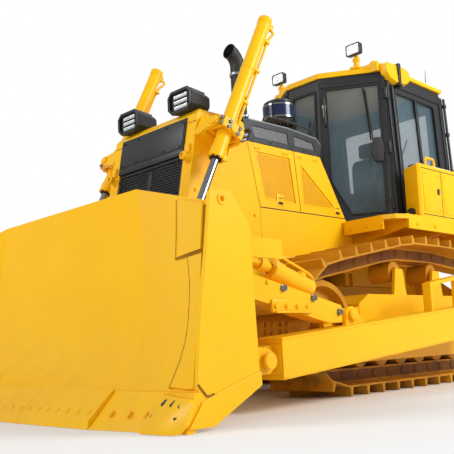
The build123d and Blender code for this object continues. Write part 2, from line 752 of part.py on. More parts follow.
pipe_x, pipe_y, pipe_radius, pipe_straight = 300, -757, 70, 3089
pipe_bend, pipe_turn, pipe_wall = 140, 78, 4
roof_z = screen_top + 20 + running_gap
with BuildPart() as exhaust:
    with BuildSketch(Plane.XY.offset(roof_z)):
        with Locations((pipe_x, pipe_y)):
            Circle(pipe_radius)
    extrude(amount=pipe_straight - roof_z)
    bend_axis = Axis((pipe_x, pipe_y - pipe_bend, pipe_straight), (1, 0, 0))
    revolve(exhaust.faces().sort_by(Axis.Z)[-1], axis=bend_axis, revolution_arc=pipe_turn)
    with BuildSketch(Plane.XY.offset(roof_z)):
        with Locations((pipe_x, pipe_y)):
            Circle(pipe_radius + 22)
    extrude(amount=60)
    # the pipe is open through its bend
    with BuildSketch(Plane.XY.offset(pipe_straight)) as bore:
        with Locations((pipe_x, pipe_y)):
            Circle(pipe_radius - pipe_wall)
    revolve(bore.sketch, axis=bend_axis, revolution_arc=pipe_turn, mode=Mode.SUBTRACT)
    extrude(bore.sketch, amount=-200, mode=Mode.SUBTRACT)
finish(exhaust, "exhaust")

cleaner_x, cleaner_y, cleaner_radius = 245, -130, 162
cleaner_bottom, cleaner_top = 2735, 2995
with BuildPart() as precleaner:
    with BuildSketch(Plane.XZ.offset(-cleaner_y)):
        with BuildLine():
            Polyline((cleaner_x, roof_z), (cleaner_x + 115, roof_z), (cleaner_x + 115, roof_z + 40),
                     (cleaner_x + 88, roof_z + 60), (cleaner_x + 88, cleaner_bottom - 40),
                     (cleaner_x + cleaner_radius - 22, cleaner_bottom),
                     (cleaner_x + cleaner_radius - 8, cleaner_bottom + 55),
                     (cleaner_x + cleaner_radius, cleaner_bottom + 60),
                     (cleaner_x + cleaner_radius, cleaner_top - 50),
                     (cleaner_x + cleaner_radius - 30, cleaner_top - 12),
                     (cleaner_x + 40, cleaner_top), (cleaner_x, cleaner_top), close=True)
        make_face()
    revolve(axis=Axis((cleaner_x, cleaner_y, 0), (0, 0, 1)))
finish(precleaner, "precleaner")

# ---------------------------------------------------------------- cab
# In plan the cab is a hexagon whose narrow nose opens into two angled door sides. All its walls lean in.
cab_plan = [(-cab_nose_half, cab_front), (cab_nose_half, cab_front), (cab_half, pillar_y),
            (cab_rear_half, cab_rear), (-cab_rear_half, cab_rear), (-cab_half, pillar_y)]
door_run = (cab_half - cab_nose_half, pillar_y - cab_front)
door_span = hypot(*door_run)
door_turn = atan2(door_run[1], door_run[0])
floor_thickness = 45


def door_side(sign, inset):
    """The leaning face of an angled side: X along it from the rear pillar, Y up it, Z outwards."""
    along = Vector(-sign * cos(door_turn), -sin(door_turn), 0)
    level = Vector(sign * sin(door_turn), -cos(door_turn), 0)
    outwards = level * cos(radians(cab_lean)) + Vector(0, 0, sin(radians(cab_lean)))
    corner = Vector(sign * cab_half, pillar_y, cab_bottom) - outwards * inset
    if sign > 0:
        return Plane(corner, x_dir=along, z_dir=-outwards)
    return Plane(corner, x_dir=along, z_dir=outwards)


opening_near, opening_far = 95, door_span - 70
opening_low, opening_high = 75, 1545
side_window = (1130, 1985, 2000, 3110)      # lowest and highest y, lowest and highest z
nose_window = (175, 1930, 3180)             # half width, lowest and highest z
rear_window = (620, 2330, 3110)
door_gap, door_thickness = 5, 42
hinge_heights = (200, 800, 1400)


def door_outline(margin):
    """Corners of the door, or of its opening, with the lower front corner cut away over the hood."""
    near, far = opening_near - margin, opening_far + margin
    low, high = opening_low - margin, opening_high + margin
    return [(near, low), (far - 200, low), (far, low + 380), (far, high), (near, high)]


def window_boxes(grow):
    """The three window prisms that pass through the cab's walls, as (x, y, z) sizes and centres."""
    low_y, high_y, low_z, high_z = side_window
    half, nose_low, nose_high = nose_window
    rear_half, rear_low, rear_high = rear_window
    return [((4 * cab_half, high_y - low_y + grow, high_z - low_z + grow),
             (0, (low_y + high_y) / 2, (low_z + high_z) / 2)),
            ((2 * half + grow, 400, nose_high - nose_low + grow),
             (0, cab_front, (nose_low + nose_high) / 2)),
            ((2 * rear_half + grow, 400, rear_high - rear_low + grow),
             (0, cab_rear, (rear_low + rear_high) / 2))]


with BuildPart() as cab_frame:
    with BuildSketch(Plane.XY.offset(cab_bottom)):
        Polygon(*cab_plan, align=None)
    extrude(amount=cab_top - cab_bottom, taper=cab_lean)
    with BuildSketch(Plane.XY.offset(cab_bottom)):
        Polygon(*cab_plan, align=None)
        offset(amount=-cab_wall)
    extrude(amount=cab_top - cab_bottom + 1, taper=cab_lean, mode=Mode.SUBTRACT)
    with BuildSketch(Plane.XY.offset(cab_bottom)):
        Polygon(*cab_plan, align=None)
        offset(amount=-cab_wall / 2)
    extrude(amount=floor_thickness)
    for size, centre in window_boxes(0):
        with Locations(centre):
            Box(*size, mode=Mode.SUBTRACT)
    for _, sign in sides:
        with BuildSketch(door_side(sign, 0)):
            Polygon(*door_outline(0), align=None)
        extrude(amount=cab_wall * 2, both=True, mode=Mode.SUBTRACT)
        # pads behind the door's hinges
        with BuildSketch(door_side(sign, 0)):
            with Locations([(opening_near - 25, height) for height in hinge_heights]):
                Rectangle(36, 110)
        extrude(amount=-sign * (door_gap - running_gap))
finish(cab_frame, "cab_frame")

glass_inset = 22
glass_fit = 0.6
with BuildPart() as cab_windows:
    for inset, mode in ((glass_inset, Mode.ADD), (glass_inset + glass_thickness, Mode.SUBTRACT)):
        with BuildSketch(Plane.XY.offset(cab_bottom)):
            Polygon(*cab_plan, align=None)
            offset(amount=-inset)
        extrude(amount=cab_top - cab_bottom, taper=cab_lean, mode=mode)
    kept = [Pos(*centre) * Box(*[side - glass_fit for side in size], mode=Mode.PRIVATE)
            for size, centre in window_boxes(0)]
    add(kept, mode=Mode.INTERSECT)
finish(cab_windows, "cab_windows")

glazing = 25                # how far the door's glass stops short of its opening
for name, sign in sides:
    out = -sign
    with BuildPart() as cab_door:
        with BuildSketch(door_side(sign, 0).offset(out * door_gap)):
            Polygon(*door_outline(45), align=None)
        extrude(amount=out * door_thickness)
        pane = door_outline(-glazing)
        with BuildSketch(door_side(sign, 0).offset(out * door_gap)):
            Polygon(*pane, align=None)
            fillet(vertices(), 40)
        extrude(amount=out * door_thickness, mode=Mode.SUBTRACT)
    finish(cab_door, "cab_door_" + name)
    with BuildPart() as door_glass:
        with BuildSketch(door_side(sign, 0).offset(out * (door_gap + 14))):
            Polygon(*pane, align=None)
            fillet(vertices(), 40)
            offset(amount=-glass_fit / 2)
        extrude(amount=out * glass_thickness)
    finish(door_glass, "door_glass_" + name)

roof_overhang = 28
roof_draw = tan(radians(cab_lean)) * (cab_top - cab_bottom)    # how far the leaning walls come in
with BuildPart() as cab_roof:
    with BuildSketch(Plane.XY.offset(cab_top + running_gap)):
        Polygon(*cab_plan, align=None)
        offset(amount=roof_overhang - roof_draw, kind=Kind.INTERSECTION)
    extrude(amount=roof_top - cab_top - running_gap)
    chamfer(cab_roof.faces().sort_by(Axis.Z)[-1].edges(), 22)
    # lifting bosses over the door pillars
    for _, sign in sides:
        with Locations((sign * 700, 960, (cab_top + roof_top + 30) / 2)):
            Box(170, 150, roof_top + 30 - cab_top - 2 * running_gap)
finish(cab_roof, "cab_roof")

roof_lamp = (545, 845, 3587)
with BuildPart() as roof_lamps:
    for _, sign in sides:
        with Locations((sign * roof_lamp[0], roof_lamp[1], roof_lamp[2])):
            Box(185, 95, 130)
        foot_z = (roof_top + running_gap + roof_lamp[2] - 65) / 2
        with Locations((sign * roof_lamp[0], roof_lamp[1] + 20, foot_z)):
            Box(60, 50, roof_lamp[2] - 65 - roof_top - running_gap)
finish(roof_lamps, "roof_lamps")

# ---------------------------------------------------------------- inside the cab
floor_z = cab_bottom + floor_thickness + running_gap
seat_y = 1480
with BuildPart() as seat_base:
    with BuildSketch(Plane.XY.offset(floor_z)):
        with Locations((0, seat_y)):
            RectangleRounded(380, 400, 40)
    extrude(amount=230)
    with BuildSketch(Plane.XY.offset(floor_z + 230)):
        with Locations((0, seat_y)):
            RectangleRounded(500, 470, 50)
    extrude(amount=60)
finish(seat_base, "seat_base")

cushion_z = floor_z + 290 + running_gap
with BuildPart() as seat_cushion:
    with BuildSketch(Plane.XY.offset(cushion_z)):
        with Locations((0, seat_y)):
            RectangleRounded(520, 480, 70)
    extrude(amount=120)
finish(seat_cushion, "seat_cushion")

with BuildPart() as seat_backrest:
    with BuildSketch(Plane.XY.offset(cushion_z - 40)):
        with Locations((0, seat_y + 305 + running_gap)):
            RectangleRounded(500, 130, 50)
    extrude(amount=700)
    with BuildSketch(Plane.XY.offset(cushion_z + 660)):
        with Locations((0, seat_y + 310)):
            RectangleRounded(280, 100, 40)
    extrude(amount=190)
finish(seat_backrest, "seat_backrest")

console_height, dash_height, dash_depth = 560, 640, 260
with BuildPart() as consoles:
    for _, sign in sides:
        with BuildSketch(Plane.YZ.offset(sign * 330)):
            with BuildLine():
                Polyline((seat_y - 330, floor_z), (seat_y + 300, floor_z),
                         (seat_y + 300, floor_z + console_height), (seat_y - 200, floor_z + console_height),
                         (seat_y - 360, floor_z + console_height - 90), close=True)
            make_face()
        extrude(amount=sign * 190)
        with Locations((sign * 420, seat_y - 240, floor_z + console_height + 30)):
            Cylinder(16, 200)
            with Locations((0, 0, 110)):
                Sphere(36)
    with BuildSketch(Plane.YZ.offset(-200)):
        with BuildLine():
            Polyline((cab_front + 115, floor_z), (cab_front + dash_depth + 70, floor_z),
                     (cab_front + dash_depth + 70, floor_z + dash_height - 160),
                     (cab_front + dash_depth, floor_z + dash_height),
                     (cab_front + 130, floor_z + dash_height - 40), close=True)
        make_face()
    extrude(amount=400)
finish(consoles, "consoles")

# ---------------------------------------------------------------- decks, tanks and the body under the cab
body_half, body_front, body_rear = 500, 590, 2300
body_bottom = case_top + running_gap
with BuildPart() as cab_platform:
    with BuildSketch(Plane.YZ.offset(-body_half)):
        with BuildLine():
            Polyline((body_front, frame_top + running_gap), (frame_rear - 5, frame_top + running_gap),
                     (frame_rear - 5, body_bottom), (body_rear, body_bottom),
                     (body_rear, cab_bottom - running_gap), (body_front - 60, cab_bottom - running_gap),
                     close=True)
        make_face()
    extrude(amount=2 * body_half)
finish(cab_platform, "cab_platform")

deck_inner = body_half + running_gap
deck_lip = 95
with BuildPart() as fenders:
    for _, sign in sides:
        with BuildSketch(Plane.XY.offset(deck_top - deck_thickness - running_gap)):
            with BuildLine():
                Polyline((sign * deck_inner, deck_front + 225), (sign * (hood_half + 15), deck_front + 225),
                         (sign * (hood_half + 15), deck_front), (sign * (deck_half - 170), deck_front),
                         (sign * (deck_half - 60), deck_front + 60), (sign * deck_half, deck_front + 200),
                         (sign * deck_half, deck_rear),
                         (sign * deck_inner, deck_rear), close=True)
            make_face()
        extrude(amount=deck_thickness)
        # outer and front lips hang from the deck's edge
        with Locations((sign * (deck_half - 12), (deck_front + deck_rear) / 2 + 100,
                        deck_top - deck_thickness - deck_lip / 2)):
            Box(24, deck_rear - deck_front - 200, deck_lip)
        with Locations((sign * (hood_half + deck_half - 155) / 2, deck_front + 12,
                        deck_top - deck_thickness - deck_lip / 2)):
            Box(deck_half - hood_half - 185, 24, deck_lip)
        # gussets from the platform's side
        for y in (body_front + 60, 1400, body_rear - 120):
            with BuildSketch(Plane.XZ.offset(-y - 12)):
                with BuildLine():
                    Polyline((sign * deck_inner, deck_top - deck_thickness),
                             (sign * (deck_half - 60), deck_top - deck_thickness),
                             (sign * (deck_half - 60), deck_top - deck_thickness - 60),
                             (sign * deck_inner, deck_top - deck_thickness - 190), close=True)
                make_face()
            extrude(amount=24)
finish(fenders, "fenders")

handle_radius, handle_rise = 13, 95
for name, sign in sides:
    with BuildPart() as side_tank:
        with BuildSketch(Plane.XY.offset(deck_top)):
            with BuildLine():
                Polyline((sign * tank_inner, tank_front + 145), (sign * (tank_outer - 20), tank_front),
                         (sign * tank_outer, tank_front + 20), (sign * tank_outer, tank_rear),
                         (sign * tank_inner, tank_rear), close=True)
            make_face()
        extrude(amount=tank_top - deck_top)
        chamfer(side_tank.faces().sort_by(Axis.Z)[-1].edges(), 16)
        for y in (tank_front + 330, tank_front + 950):
            with BuildLine():
                FilletPolyline((sign * (tank_outer - 60), y - 85, tank_top - 6),
                               (sign * (tank_outer - 60), y - 85, tank_top + handle_rise),
                               (sign * (tank_outer - 60), y + 85, tank_top + handle_rise),
                               (sign * (tank_outer - 60), y + 85, tank_top - 6), radius=30)
            with BuildSketch(Plane.XY.offset(tank_top - 6)):
                with Locations((sign * (tank_outer - 60), y - 85)):
                    Circle(handle_radius)
            sweep()
    finish(side_tank, "side_tank_" + name)

rear_tank_half, rear_tank_front, rear_tank_rear = 640, deck_rear + running_gap, 2890
rear_tank_bottom, rear_tank_top = 1255, 2290
with BuildPart() as fuel_tank:
    with BuildSketch(Plane.YZ.offset(-rear_tank_half)):
        with BuildLine():
            Polyline((rear_tank_front, rear_tank_bottom), (rear_tank_rear - 150, rear_tank_bottom),
                     (rear_tank_rear, rear_tank_bottom + 170), (rear_tank_rear, rear_tank_top - 200),
                     (rear_tank_rear - 130, rear_tank_top), (rear_tank_front, rear_tank_top), close=True)
        make_face()
    extrude(amount=2 * rear_tank_half)
    fillet(fuel_tank.edges().filter_by(Axis.Z), 50)
    with BuildSketch(Plane.XY.offset(rear_tank_top - 3)):
        with Locations((-380, rear_tank_front + 180)):
            Circle(62)
    extrude(amount=55)
    # bearers that rest on the power case
    for _, sign in sides:
        with Locations((sign * 300, body_rear + 12, (case_top + rear_tank_bottom) / 2 + 1)):
            Box(90, 20, rear_tank_bottom - case_top - 2 * running_gap + 2)
finish(fuel_tank, "fuel_tank")

# ---------------------------------------------------------------- blade
# The blade's face is ruled between three sections: at its middle, at the leaning crease where each wing
# starts, and at its end. Each section is two arcs and a straight foot that carries the cutting edge.
middle_curve = {"top": (-2518, 1576), "upper": (-2545, 1100), "knee": (-2652, 600),
                "lower": (-2762, 391), "foot": (-2930, 225)}
end_curve = {"top": (-2822, 1280), "upper": (-2862, 940), "knee": (-2905, 600),
             "lower": (-2938, 400), "foot": (-2962, 225)}
plate_foot = 150
form_rear = -1950
crease_top = 951            # x of the crease at the top of the face
crease_lean = (0.161, 0.182)    # how far the crease plane moves inwards for each mm rearwards and upwards
end_edge_y = -3070


def crease_x(y, z):
    """X of the crease plane at a point of the side view."""
    top_y, top_z = middle_curve["top"]
    return crease_top - crease_lean[0] * (y - top_y) - crease_lean[1] * (z - top_z)


crease_plane = Plane((crease_x(-2700, 800), -2700, 800), x_dir=(-crease_lean[0], 1, 0),
                     z_dir=(1, crease_lean[0], crease_lean[1]))


def foot_line(curve, edge_y, z):
    """Y of the straight foot of a section at a height."""
    foot_y, foot_z = curve["foot"]
    return edge_y + (foot_y - edge_y) * z / foot_z


def blade_section(plane, place, curve, edge_y):
    """A filled section of the blade: its front curve, closed by a line behind it."""
    point = {key: place(*value) for key, value in curve.items()}
    heel = place(foot_line(curve, edge_y, plate_foot), plate_foot)
    with BuildSketch(plane) as section:
        with BuildLine():
            ThreePointArc(point["top"], point["upper"], point["knee"])
            ThreePointArc(point["knee"], point["lower"], point["foot"])
            Polyline(point["foot"], heel, place(form_rear, plate_foot), place(form_rear, curve["top"][1]),
                     point["top"])
        make_face()
    return section.sketch


def on_crease(y, z):
    """A point of the crease plane in its own axes."""
    local = crease_plane.to_local_coords(Vector(crease_x(y, z), y, z))
    return local.X, local.Y


def flat_point(y, z):
    """A point of an upright plane across X."""
    return y, z


middle_section = blade_section(Plane.YZ, flat_point, middle_curve, edge_foot)
crease_section = blade_section(crease_plane, on_crease, middle_curve, edge_foot)
end_section = blade_section(Plane.YZ.offset(blade_half - end_plate), flat_point, end_curve, end_edge_y)

with BuildPart() as blade_form:
    loft([middle_section, crease_section], ruled=True)
    loft([crease_section, end_section], ruled=True)
    mirror(about=Plane.YZ)

lug_thickness = 32
rib_plate = 26
rib_xs = (0, 370, lift_x - 160, lift_x + 160, 1180, 1420, 1860)
beam_half = rib_xs[-1] + rib_plate / 2
beam_bands = ((plate_foot, 560), (1010, 1230))      # lower and upper z of the two box beams
upper_rear = -2440
root_y = -2900              # plates behind the blade start here and are cut back to its face
eye_lug_inner = eye_width / 2 + lug_gap
tongue_width = 90
brace_pin, brace_gap = 32, 36       # radius of a brace's pins and half of the space between its two lugs
arm_middle = (arm_inner + arm_outer) / 2


def lug(across, pin, radius, root_low, root_high):
    """An ear from the blade's back out to a round end about a pin."""
    with BuildSketch(Plane.YZ.offset(across)) as outline:
        with BuildLine():
            Polyline((root_y, root_low), (pin[0], pin[1] - radius), (pin[0], pin[1] + radius),
                     (root_y, root_high), close=True)
        make_face()
        with Locations(pin):
            Circle(radius)
    extrude(outline.sketch, amount=lug_thickness)


def cross_bore(x, pin, radius):
    """A bore across the machine through the lugs of one pin."""
    with Locations(Plane((x, *pin), x_dir=(0, 1, 0), z_dir=(1, 0, 0))):
        Cylinder(radius + running_gap, 300, mode=Mode.SUBTRACT)


# y, z corners of the end plate and of the wear skirt along its foot
end_outline = ((-2820, 1332), (-2664, 1348), (-2599, 1267), (-2509, 1148), (-2502, 730), (-2489, 292),
               (-2486, 217), (-2880, 20), (-3058, 24), (-2958, 153), (-2975, 251), (-2924, 692),
               (-2868, 971))
skirt_outline = ((-2958, 153), (-2489, 292), (-2486, 217), (-2880, 20), (-3058, 24))
skirt_proud = 12
shelf_inner, shelf_outer = 1660, 1900       # a guard box behind each wing, outboard of the tilt cylinder
shelf_rear, shelf_low, shelf_high = -2085, 990, 1115
shelf_plate = 24
with BuildPart() as moldboard:
    for low, high in beam_bands:
        rear = box_rear if low == plate_foot else upper_rear
        with Locations((0, (rear - 3200) / 2, (low + high) / 2)):
            Box(2 * beam_half, rear + 3200, high - low)
    for x in rib_xs:
        for sign in (1, -1) if x else (1,):
            with BuildSketch(Plane.YZ.offset(sign * x - rib_plate / 2)):
                with BuildLine():
                    Polyline((-3200, plate_foot), (box_rear, plate_foot), (box_rear, 560),
                             (upper_rear - 60, 1010), (upper_rear - 30, 1230), (upper_rear - 60, 1700),
                             (-3200, 1700), close=True)
                make_face()
            extrude(amount=rib_plate)
    for _, sign in sides:
        # ears for the lift rod's eye, the push arm, the brace and the tilt cylinder
        for inner in (eye_lug_inner, -eye_lug_inner - lug_thickness):
            lug(sign * lift_x + inner, lift_eye, 78, 700, 1210)
        for inner in (tongue_width / 2 + 5, -tongue_width / 2 - 5 - lug_thickness):
            lug(sign * arm_middle + inner, (blade_pin_y, blade_pin_z), 84, 180, 540)
        for inner in (brace_gap, -brace_gap - lug_thickness):
            lug(sign * brace_x + inner, brace_head, 66, 760, 990)
            lug(sign * brace_x + inner, tilt_head, 60, 1000, 1230)
        # a guard box, open below and at its rear
        across = sign * (shelf_inner + shelf_outer) / 2
        with Locations((across, (root_y + shelf_rear) / 2, (shelf_low + shelf_high) / 2)):
            Box(shelf_outer - shelf_inner, shelf_rear - root_y, shelf_high - shelf_low)
        with Locations((across, (root_y + shelf_rear) / 2, (shelf_low + shelf_high) / 2 - shelf_plate)):
            Box(shelf_outer - shelf_inner - 2 * shelf_plate, shelf_rear - root_y + 2, shelf_high - shelf_low,
                mode=Mode.SUBTRACT)
    add(blade_form.part, mode=Mode.INTERSECT)
    skin = blade_form.part - Pos(0, blade_plate, 0) * blade_form.part
    add(skin)
    for _, sign in sides:
        # stub pins outside the lift rod's ears
        for outer in (eye_lug_inner + 4, -eye_lug_inner - lug_thickness - 24):
            with BuildSketch(Plane.YZ.offset(sign * lift_x + outer)):
                with Locations(lift_eye):
                    Circle(lift_pin_radius)
            extrude(amount=lug_thickness + 20)
        # end plates stand a little proud of the face
        for outline, near, far in ((end_outline, blade_half - end_plate, blade_half),
                                   (skirt_outline, blade_half - 2, blade_half + skirt_proud)):
            start, depth = sweep_band(sign, near, far)
            with BuildSketch(Plane.YZ.offset(start)):
                Polygon(*outline, align=None)
            extrude(amount=depth)
        cross_bore(sign * (blade_half - end_plate / 2), (-2735, 1290), 16)
        cross_bore(sign * arm_middle, (blade_pin_y, blade_pin_z), blade_pin_radius)
        cross_bore(sign * brace_x, brace_head, brace_pin)
        cross_bore(sign * brace_x, tilt_head, brace_pin)
finish(moldboard, "moldboard")

# cutting edge in three lengths and two end bits, bolted over the foot of the face
edge_half = 1260
edge_top, edge_thickness = 205, 32
edge_joint = 3


def edge_bar(start, length, foot_y, foot_z, edge_y, bottom, top):
    """A straight bar on the blade's foot line, from a start X, parallel to X."""
    slope = atan2(foot_z, foot_y - edge_y)
    out = Vector(0, -sin(slope), cos(slope))
    low, high = bottom / sin(slope), top / sin(slope)
    along = Vector(0, cos(slope), sin(slope))
    base = Vector(start, edge_y, 0)
    with BuildSketch(Plane(Vector(start, 0, 0), x_dir=(0, 1, 0), z_dir=(1, 0, 0))) as bar:
        corners = [base + along * low, base + along * high, base + along * (high - 8) + out * edge_thickness,
                   base + along * (low + edge_thickness / tan(slope)) + out * edge_thickness]
        Polygon(*[(corner.Y, corner.Z) for corner in corners], align=None)
    extrude(bar.sketch, amount=length)


third = 2 * edge_half / 3
with BuildPart() as cutting_edge:
    for index in range(3):
        edge_bar(-edge_half + third * index + edge_joint / 2, third - edge_joint, middle_curve["foot"][0],
                 middle_curve["foot"][1], edge_foot, 0, edge_top)
finish(cutting_edge, "cutting_edge")

# An end bit covers the foot of each wing, and a corner bit lies over its outer end.
bit_start, bit_end, corner_start = edge_half + edge_joint, blade_half, 1620
bit_top = 212
bit_depth = 60              # how far a bit's blank runs into the form before it is cut back to the face


def bit_blank(near, far, top, lift, toe):
    """A slab over the foot of a wing, from one X to another, that stands off the face by its lift."""
    blank = []
    for x in (near, far):
        share = (x - bit_start) / (bit_end - bit_start)
        foot_y = middle_curve["foot"][0] + (end_curve["foot"][0] - middle_curve["foot"][0]) * share
        edge_y = edge_foot + (end_edge_y - edge_foot) * share
        crest = edge_y + (foot_y - edge_y) * top / middle_curve["foot"][1]
        with BuildSketch(Plane.YZ.offset(x)) as section:
            with BuildLine():
                Polyline((edge_y - toe, 0), (edge_y + bit_depth, 0), (crest + bit_depth, top),
                         (crest - lift, top), (crest - lift, top - 10), close=True)
            make_face()
        blank.append(section.sketch)
    loft(blank, ruled=True)


with BuildPart() as end_bits:
    bit_blank(bit_start, bit_end, bit_top, edge_thickness, 0)
    mirror(about=Plane.YZ)
    add(moldboard.part, mode=Mode.SUBTRACT)
finish(end_bits, "end_bits")

with BuildPart() as corner_bits:
    bit_blank(corner_start, bit_end + 38, bit_top - 6, 2 * edge_thickness - 4, 36)
    mirror(about=Plane.YZ)
    add(moldboard.part, mode=Mode.SUBTRACT)
    add(end_bits.part, mode=Mode.SUBTRACT)
finish(corner_bits, "corner_bits")

# ---------------------------------------------------------------- push arms and braces
arm_span = trunnion_y - blade_pin_y
arm_lean = atan2(trunnion_z - blade_pin_z, arm_span)
arm_head = 165              # radius of the arm's rear end, round its trunnion
arm_front = blade_pin_y + 110
brace_lug, brace_eye = 32, 62
step_leg, step_width = 32, 80
step_front, step_rear = (118, 917), (656, 996)      # y, z of the top of the step's legs


def arm_z(y):
    """Height of the push arm's middle line."""
    return trunnion_z + (y - trunnion_y) * tan(arm_lean)


for name, sign in sides:
    with BuildPart() as push_arm:
        # the box beam and its round rear end
        start, depth = sweep_band(sign, arm_inner, arm_outer)
        with BuildSketch(Plane.YZ.offset(start)) as beam:
            with BuildLine():
                Polyline((trunnion_y, trunnion_z - arm_head), (trunnion_y, trunnion_z + arm_head),
                         (trunnion_y - 420, arm_z(trunnion_y - 420) + arm_height / 2),
                         (arm_front, arm_z(arm_front) + arm_height / 2),
                         (arm_front, arm_z(arm_front) - arm_height / 2),
                         (trunnion_y - 420, arm_z(trunnion_y - 420) - arm_height / 2), close=True)
            make_face()
            with Locations((trunnion_y, trunnion_z)):
                Circle(arm_head)
        extrude(beam.sketch, amount=depth)
        # the tongue between the blade's ears
        start, depth = sweep_band(sign, arm_middle - tongue_width / 2, arm_middle + tongue_width / 2)
        with BuildSketch(Plane.YZ.offset(start)) as tongue:
            with BuildLine():
                Polyline((arm_front + 60, arm_z(arm_front) - 110), (blade_pin_y, blade_pin_z - 85),
                         (blade_pin_y, blade_pin_z + 85), (arm_front + 60, arm_z(arm_front) + 110),
                         close=True)
            make_face()
            with Locations((blade_pin_y, blade_pin_z)):
                Circle(85)
        extrude(tongue.sketch, amount=depth)
        # ears for the brace
        for inner in (brace_gap, -brace_gap - brace_lug):
            with BuildSketch(Plane.YZ.offset(sign * brace_x + inner)) as ear:
                with BuildLine():
                    Polyline((brace_foot[0] - 90, arm_z(brace_foot[0] - 90) + 120),
                             (brace_foot[0] - 50, brace_foot[1] + 45),
                             (brace_foot[0] + 50, brace_foot[1] + 45),
                             (brace_foot[0] + 190, arm_z(brace_foot[0] + 190) + 120), close=True)
                make_face()
                with Locations(brace_foot):
                    Circle(68)
            extrude(ear.sketch, amount=brace_lug)
        # a step over the arm
        with BuildSketch(Plane.YZ.offset(sign * arm_middle - step_width / 2)) as step:
            with BuildLine():
                Polyline((step_front[0], arm_z(step_front[0]) + 100), step_front, step_rear,
                         (step_rear[0], arm_z(step_rear[0]) + 100),
                         (step_rear[0] - step_leg, arm_z(step_rear[0]) + 100),
                         (step_rear[0] - step_leg, step_rear[1] - step_leg - 4),
                         (step_front[0] + step_leg, step_front[1] - step_leg + 4),
                         (step_front[0] + step_leg, arm_z(step_front[0]) + 100), close=True)
            make_face()
        extrude(step.sketch, amount=step_width)
        for y, z, radius in ((trunnion_y, trunnion_z, trunnion_radius),
                             (blade_pin_y, blade_pin_z, blade_pin_radius)):
            with Locations(Plane((sign * arm_middle, y, z), x_dir=(0, 1, 0), z_dir=(1, 0, 0))):
                Cylinder(radius + pin_gap, 2 * arm_height, mode=Mode.SUBTRACT)
        with Locations(Plane((sign * brace_x, *brace_foot), x_dir=(0, 1, 0), z_dir=(1, 0, 0))):
            Cylinder(brace_pin + pin_gap, 2 * brace_gap + 2 * brace_lug + 2, mode=Mode.SUBTRACT)
    finish(push_arm, "push_arm_" + name)

tilt_line = Vector(0, tilt_head[0] - tilt_foot[0], tilt_head[1] - tilt_foot[1])
tilt_run, tilt_length = tilt_line.normalized(), tilt_line.length
brace_half = 70
# y, z corners of the square brace and of the flat necks that run from it to its two pins
brace_outline = ((-2190, 945), (-1140, 715), (-1140, 585), (-1300, 585), (-2190, 775))
head_neck = ((-2290, 940), (-2180, 940), (-2180, 790), (-2290, 850))
foot_neck = ((-1010, 685), (-1150, 700), (-1150, 595), (-1010, 595))
# radius, start and end of each round length of the tilt cylinder, measured from its lower end
tilt_turns = ((68, 0, 400), (74, 330, 400), (36, 390, tilt_length - 50), (52, 500, 560))
with BuildPart() as blade_braces:
    for _, sign in sides:
        for outline, half in ((brace_outline, brace_half), (head_neck, brace_gap - 1),
                              (foot_neck, brace_gap - 1)):
            with BuildSketch(Plane.YZ.offset(sign * brace_x - half)):
                Polygon(*outline, align=None)
            extrude(amount=2 * half)
        for radius, near, far in tilt_turns:
            centre = Vector(sign * brace_x, *tilt_foot) + tilt_run * ((near + far) / 2)
            with Locations(Plane(centre, x_dir=(1, 0, 0), z_dir=tilt_run)):
                Cylinder(radius, far - near)
        for y, z in (brace_foot, brace_head, tilt_head):
            with Locations(Plane((sign * brace_x, y, z), x_dir=(0, 1, 0), z_dir=(1, 0, 0))):
                Cylinder(brace_eye - 4, 2 * brace_gap - 2)
                Cylinder(brace_pin + pin_gap, 2 * brace_gap, mode=Mode.SUBTRACT)
finish(blade_braces, "blade_braces")

with BuildPart() as blade_pins:
    for _, sign in sides:
        for x, y, z, radius, reach in (
                (arm_middle, blade_pin_y, blade_pin_z, blade_pin_radius,
                 tongue_width / 2 + 5 + lug_thickness),
                (brace_x, *brace_head, brace_pin, brace_gap + brace_lug),
                (brace_x, *tilt_head, brace_pin, brace_gap + brace_lug),
                (brace_x, *brace_foot, brace_pin, brace_gap + brace_lug)):
            with Locations(Plane((sign * x, y, z), x_dir=(0, 1, 0), z_dir=(1, 0, 0))):
                Cylinder(radius, 2 * reach + 24)
finish(blade_pins, "blade_pins")

# ---------------------------------------------------------------- lift cylinders
rod_length = 1808           # from the eye's middle to the piston's upper face
collar_radius = 68
bore_radius = 50
cap_thickness = 20
trunnion_seat = yoke_half - yoke_wall       # x from the cylinder's middle to the inner face of the yoke

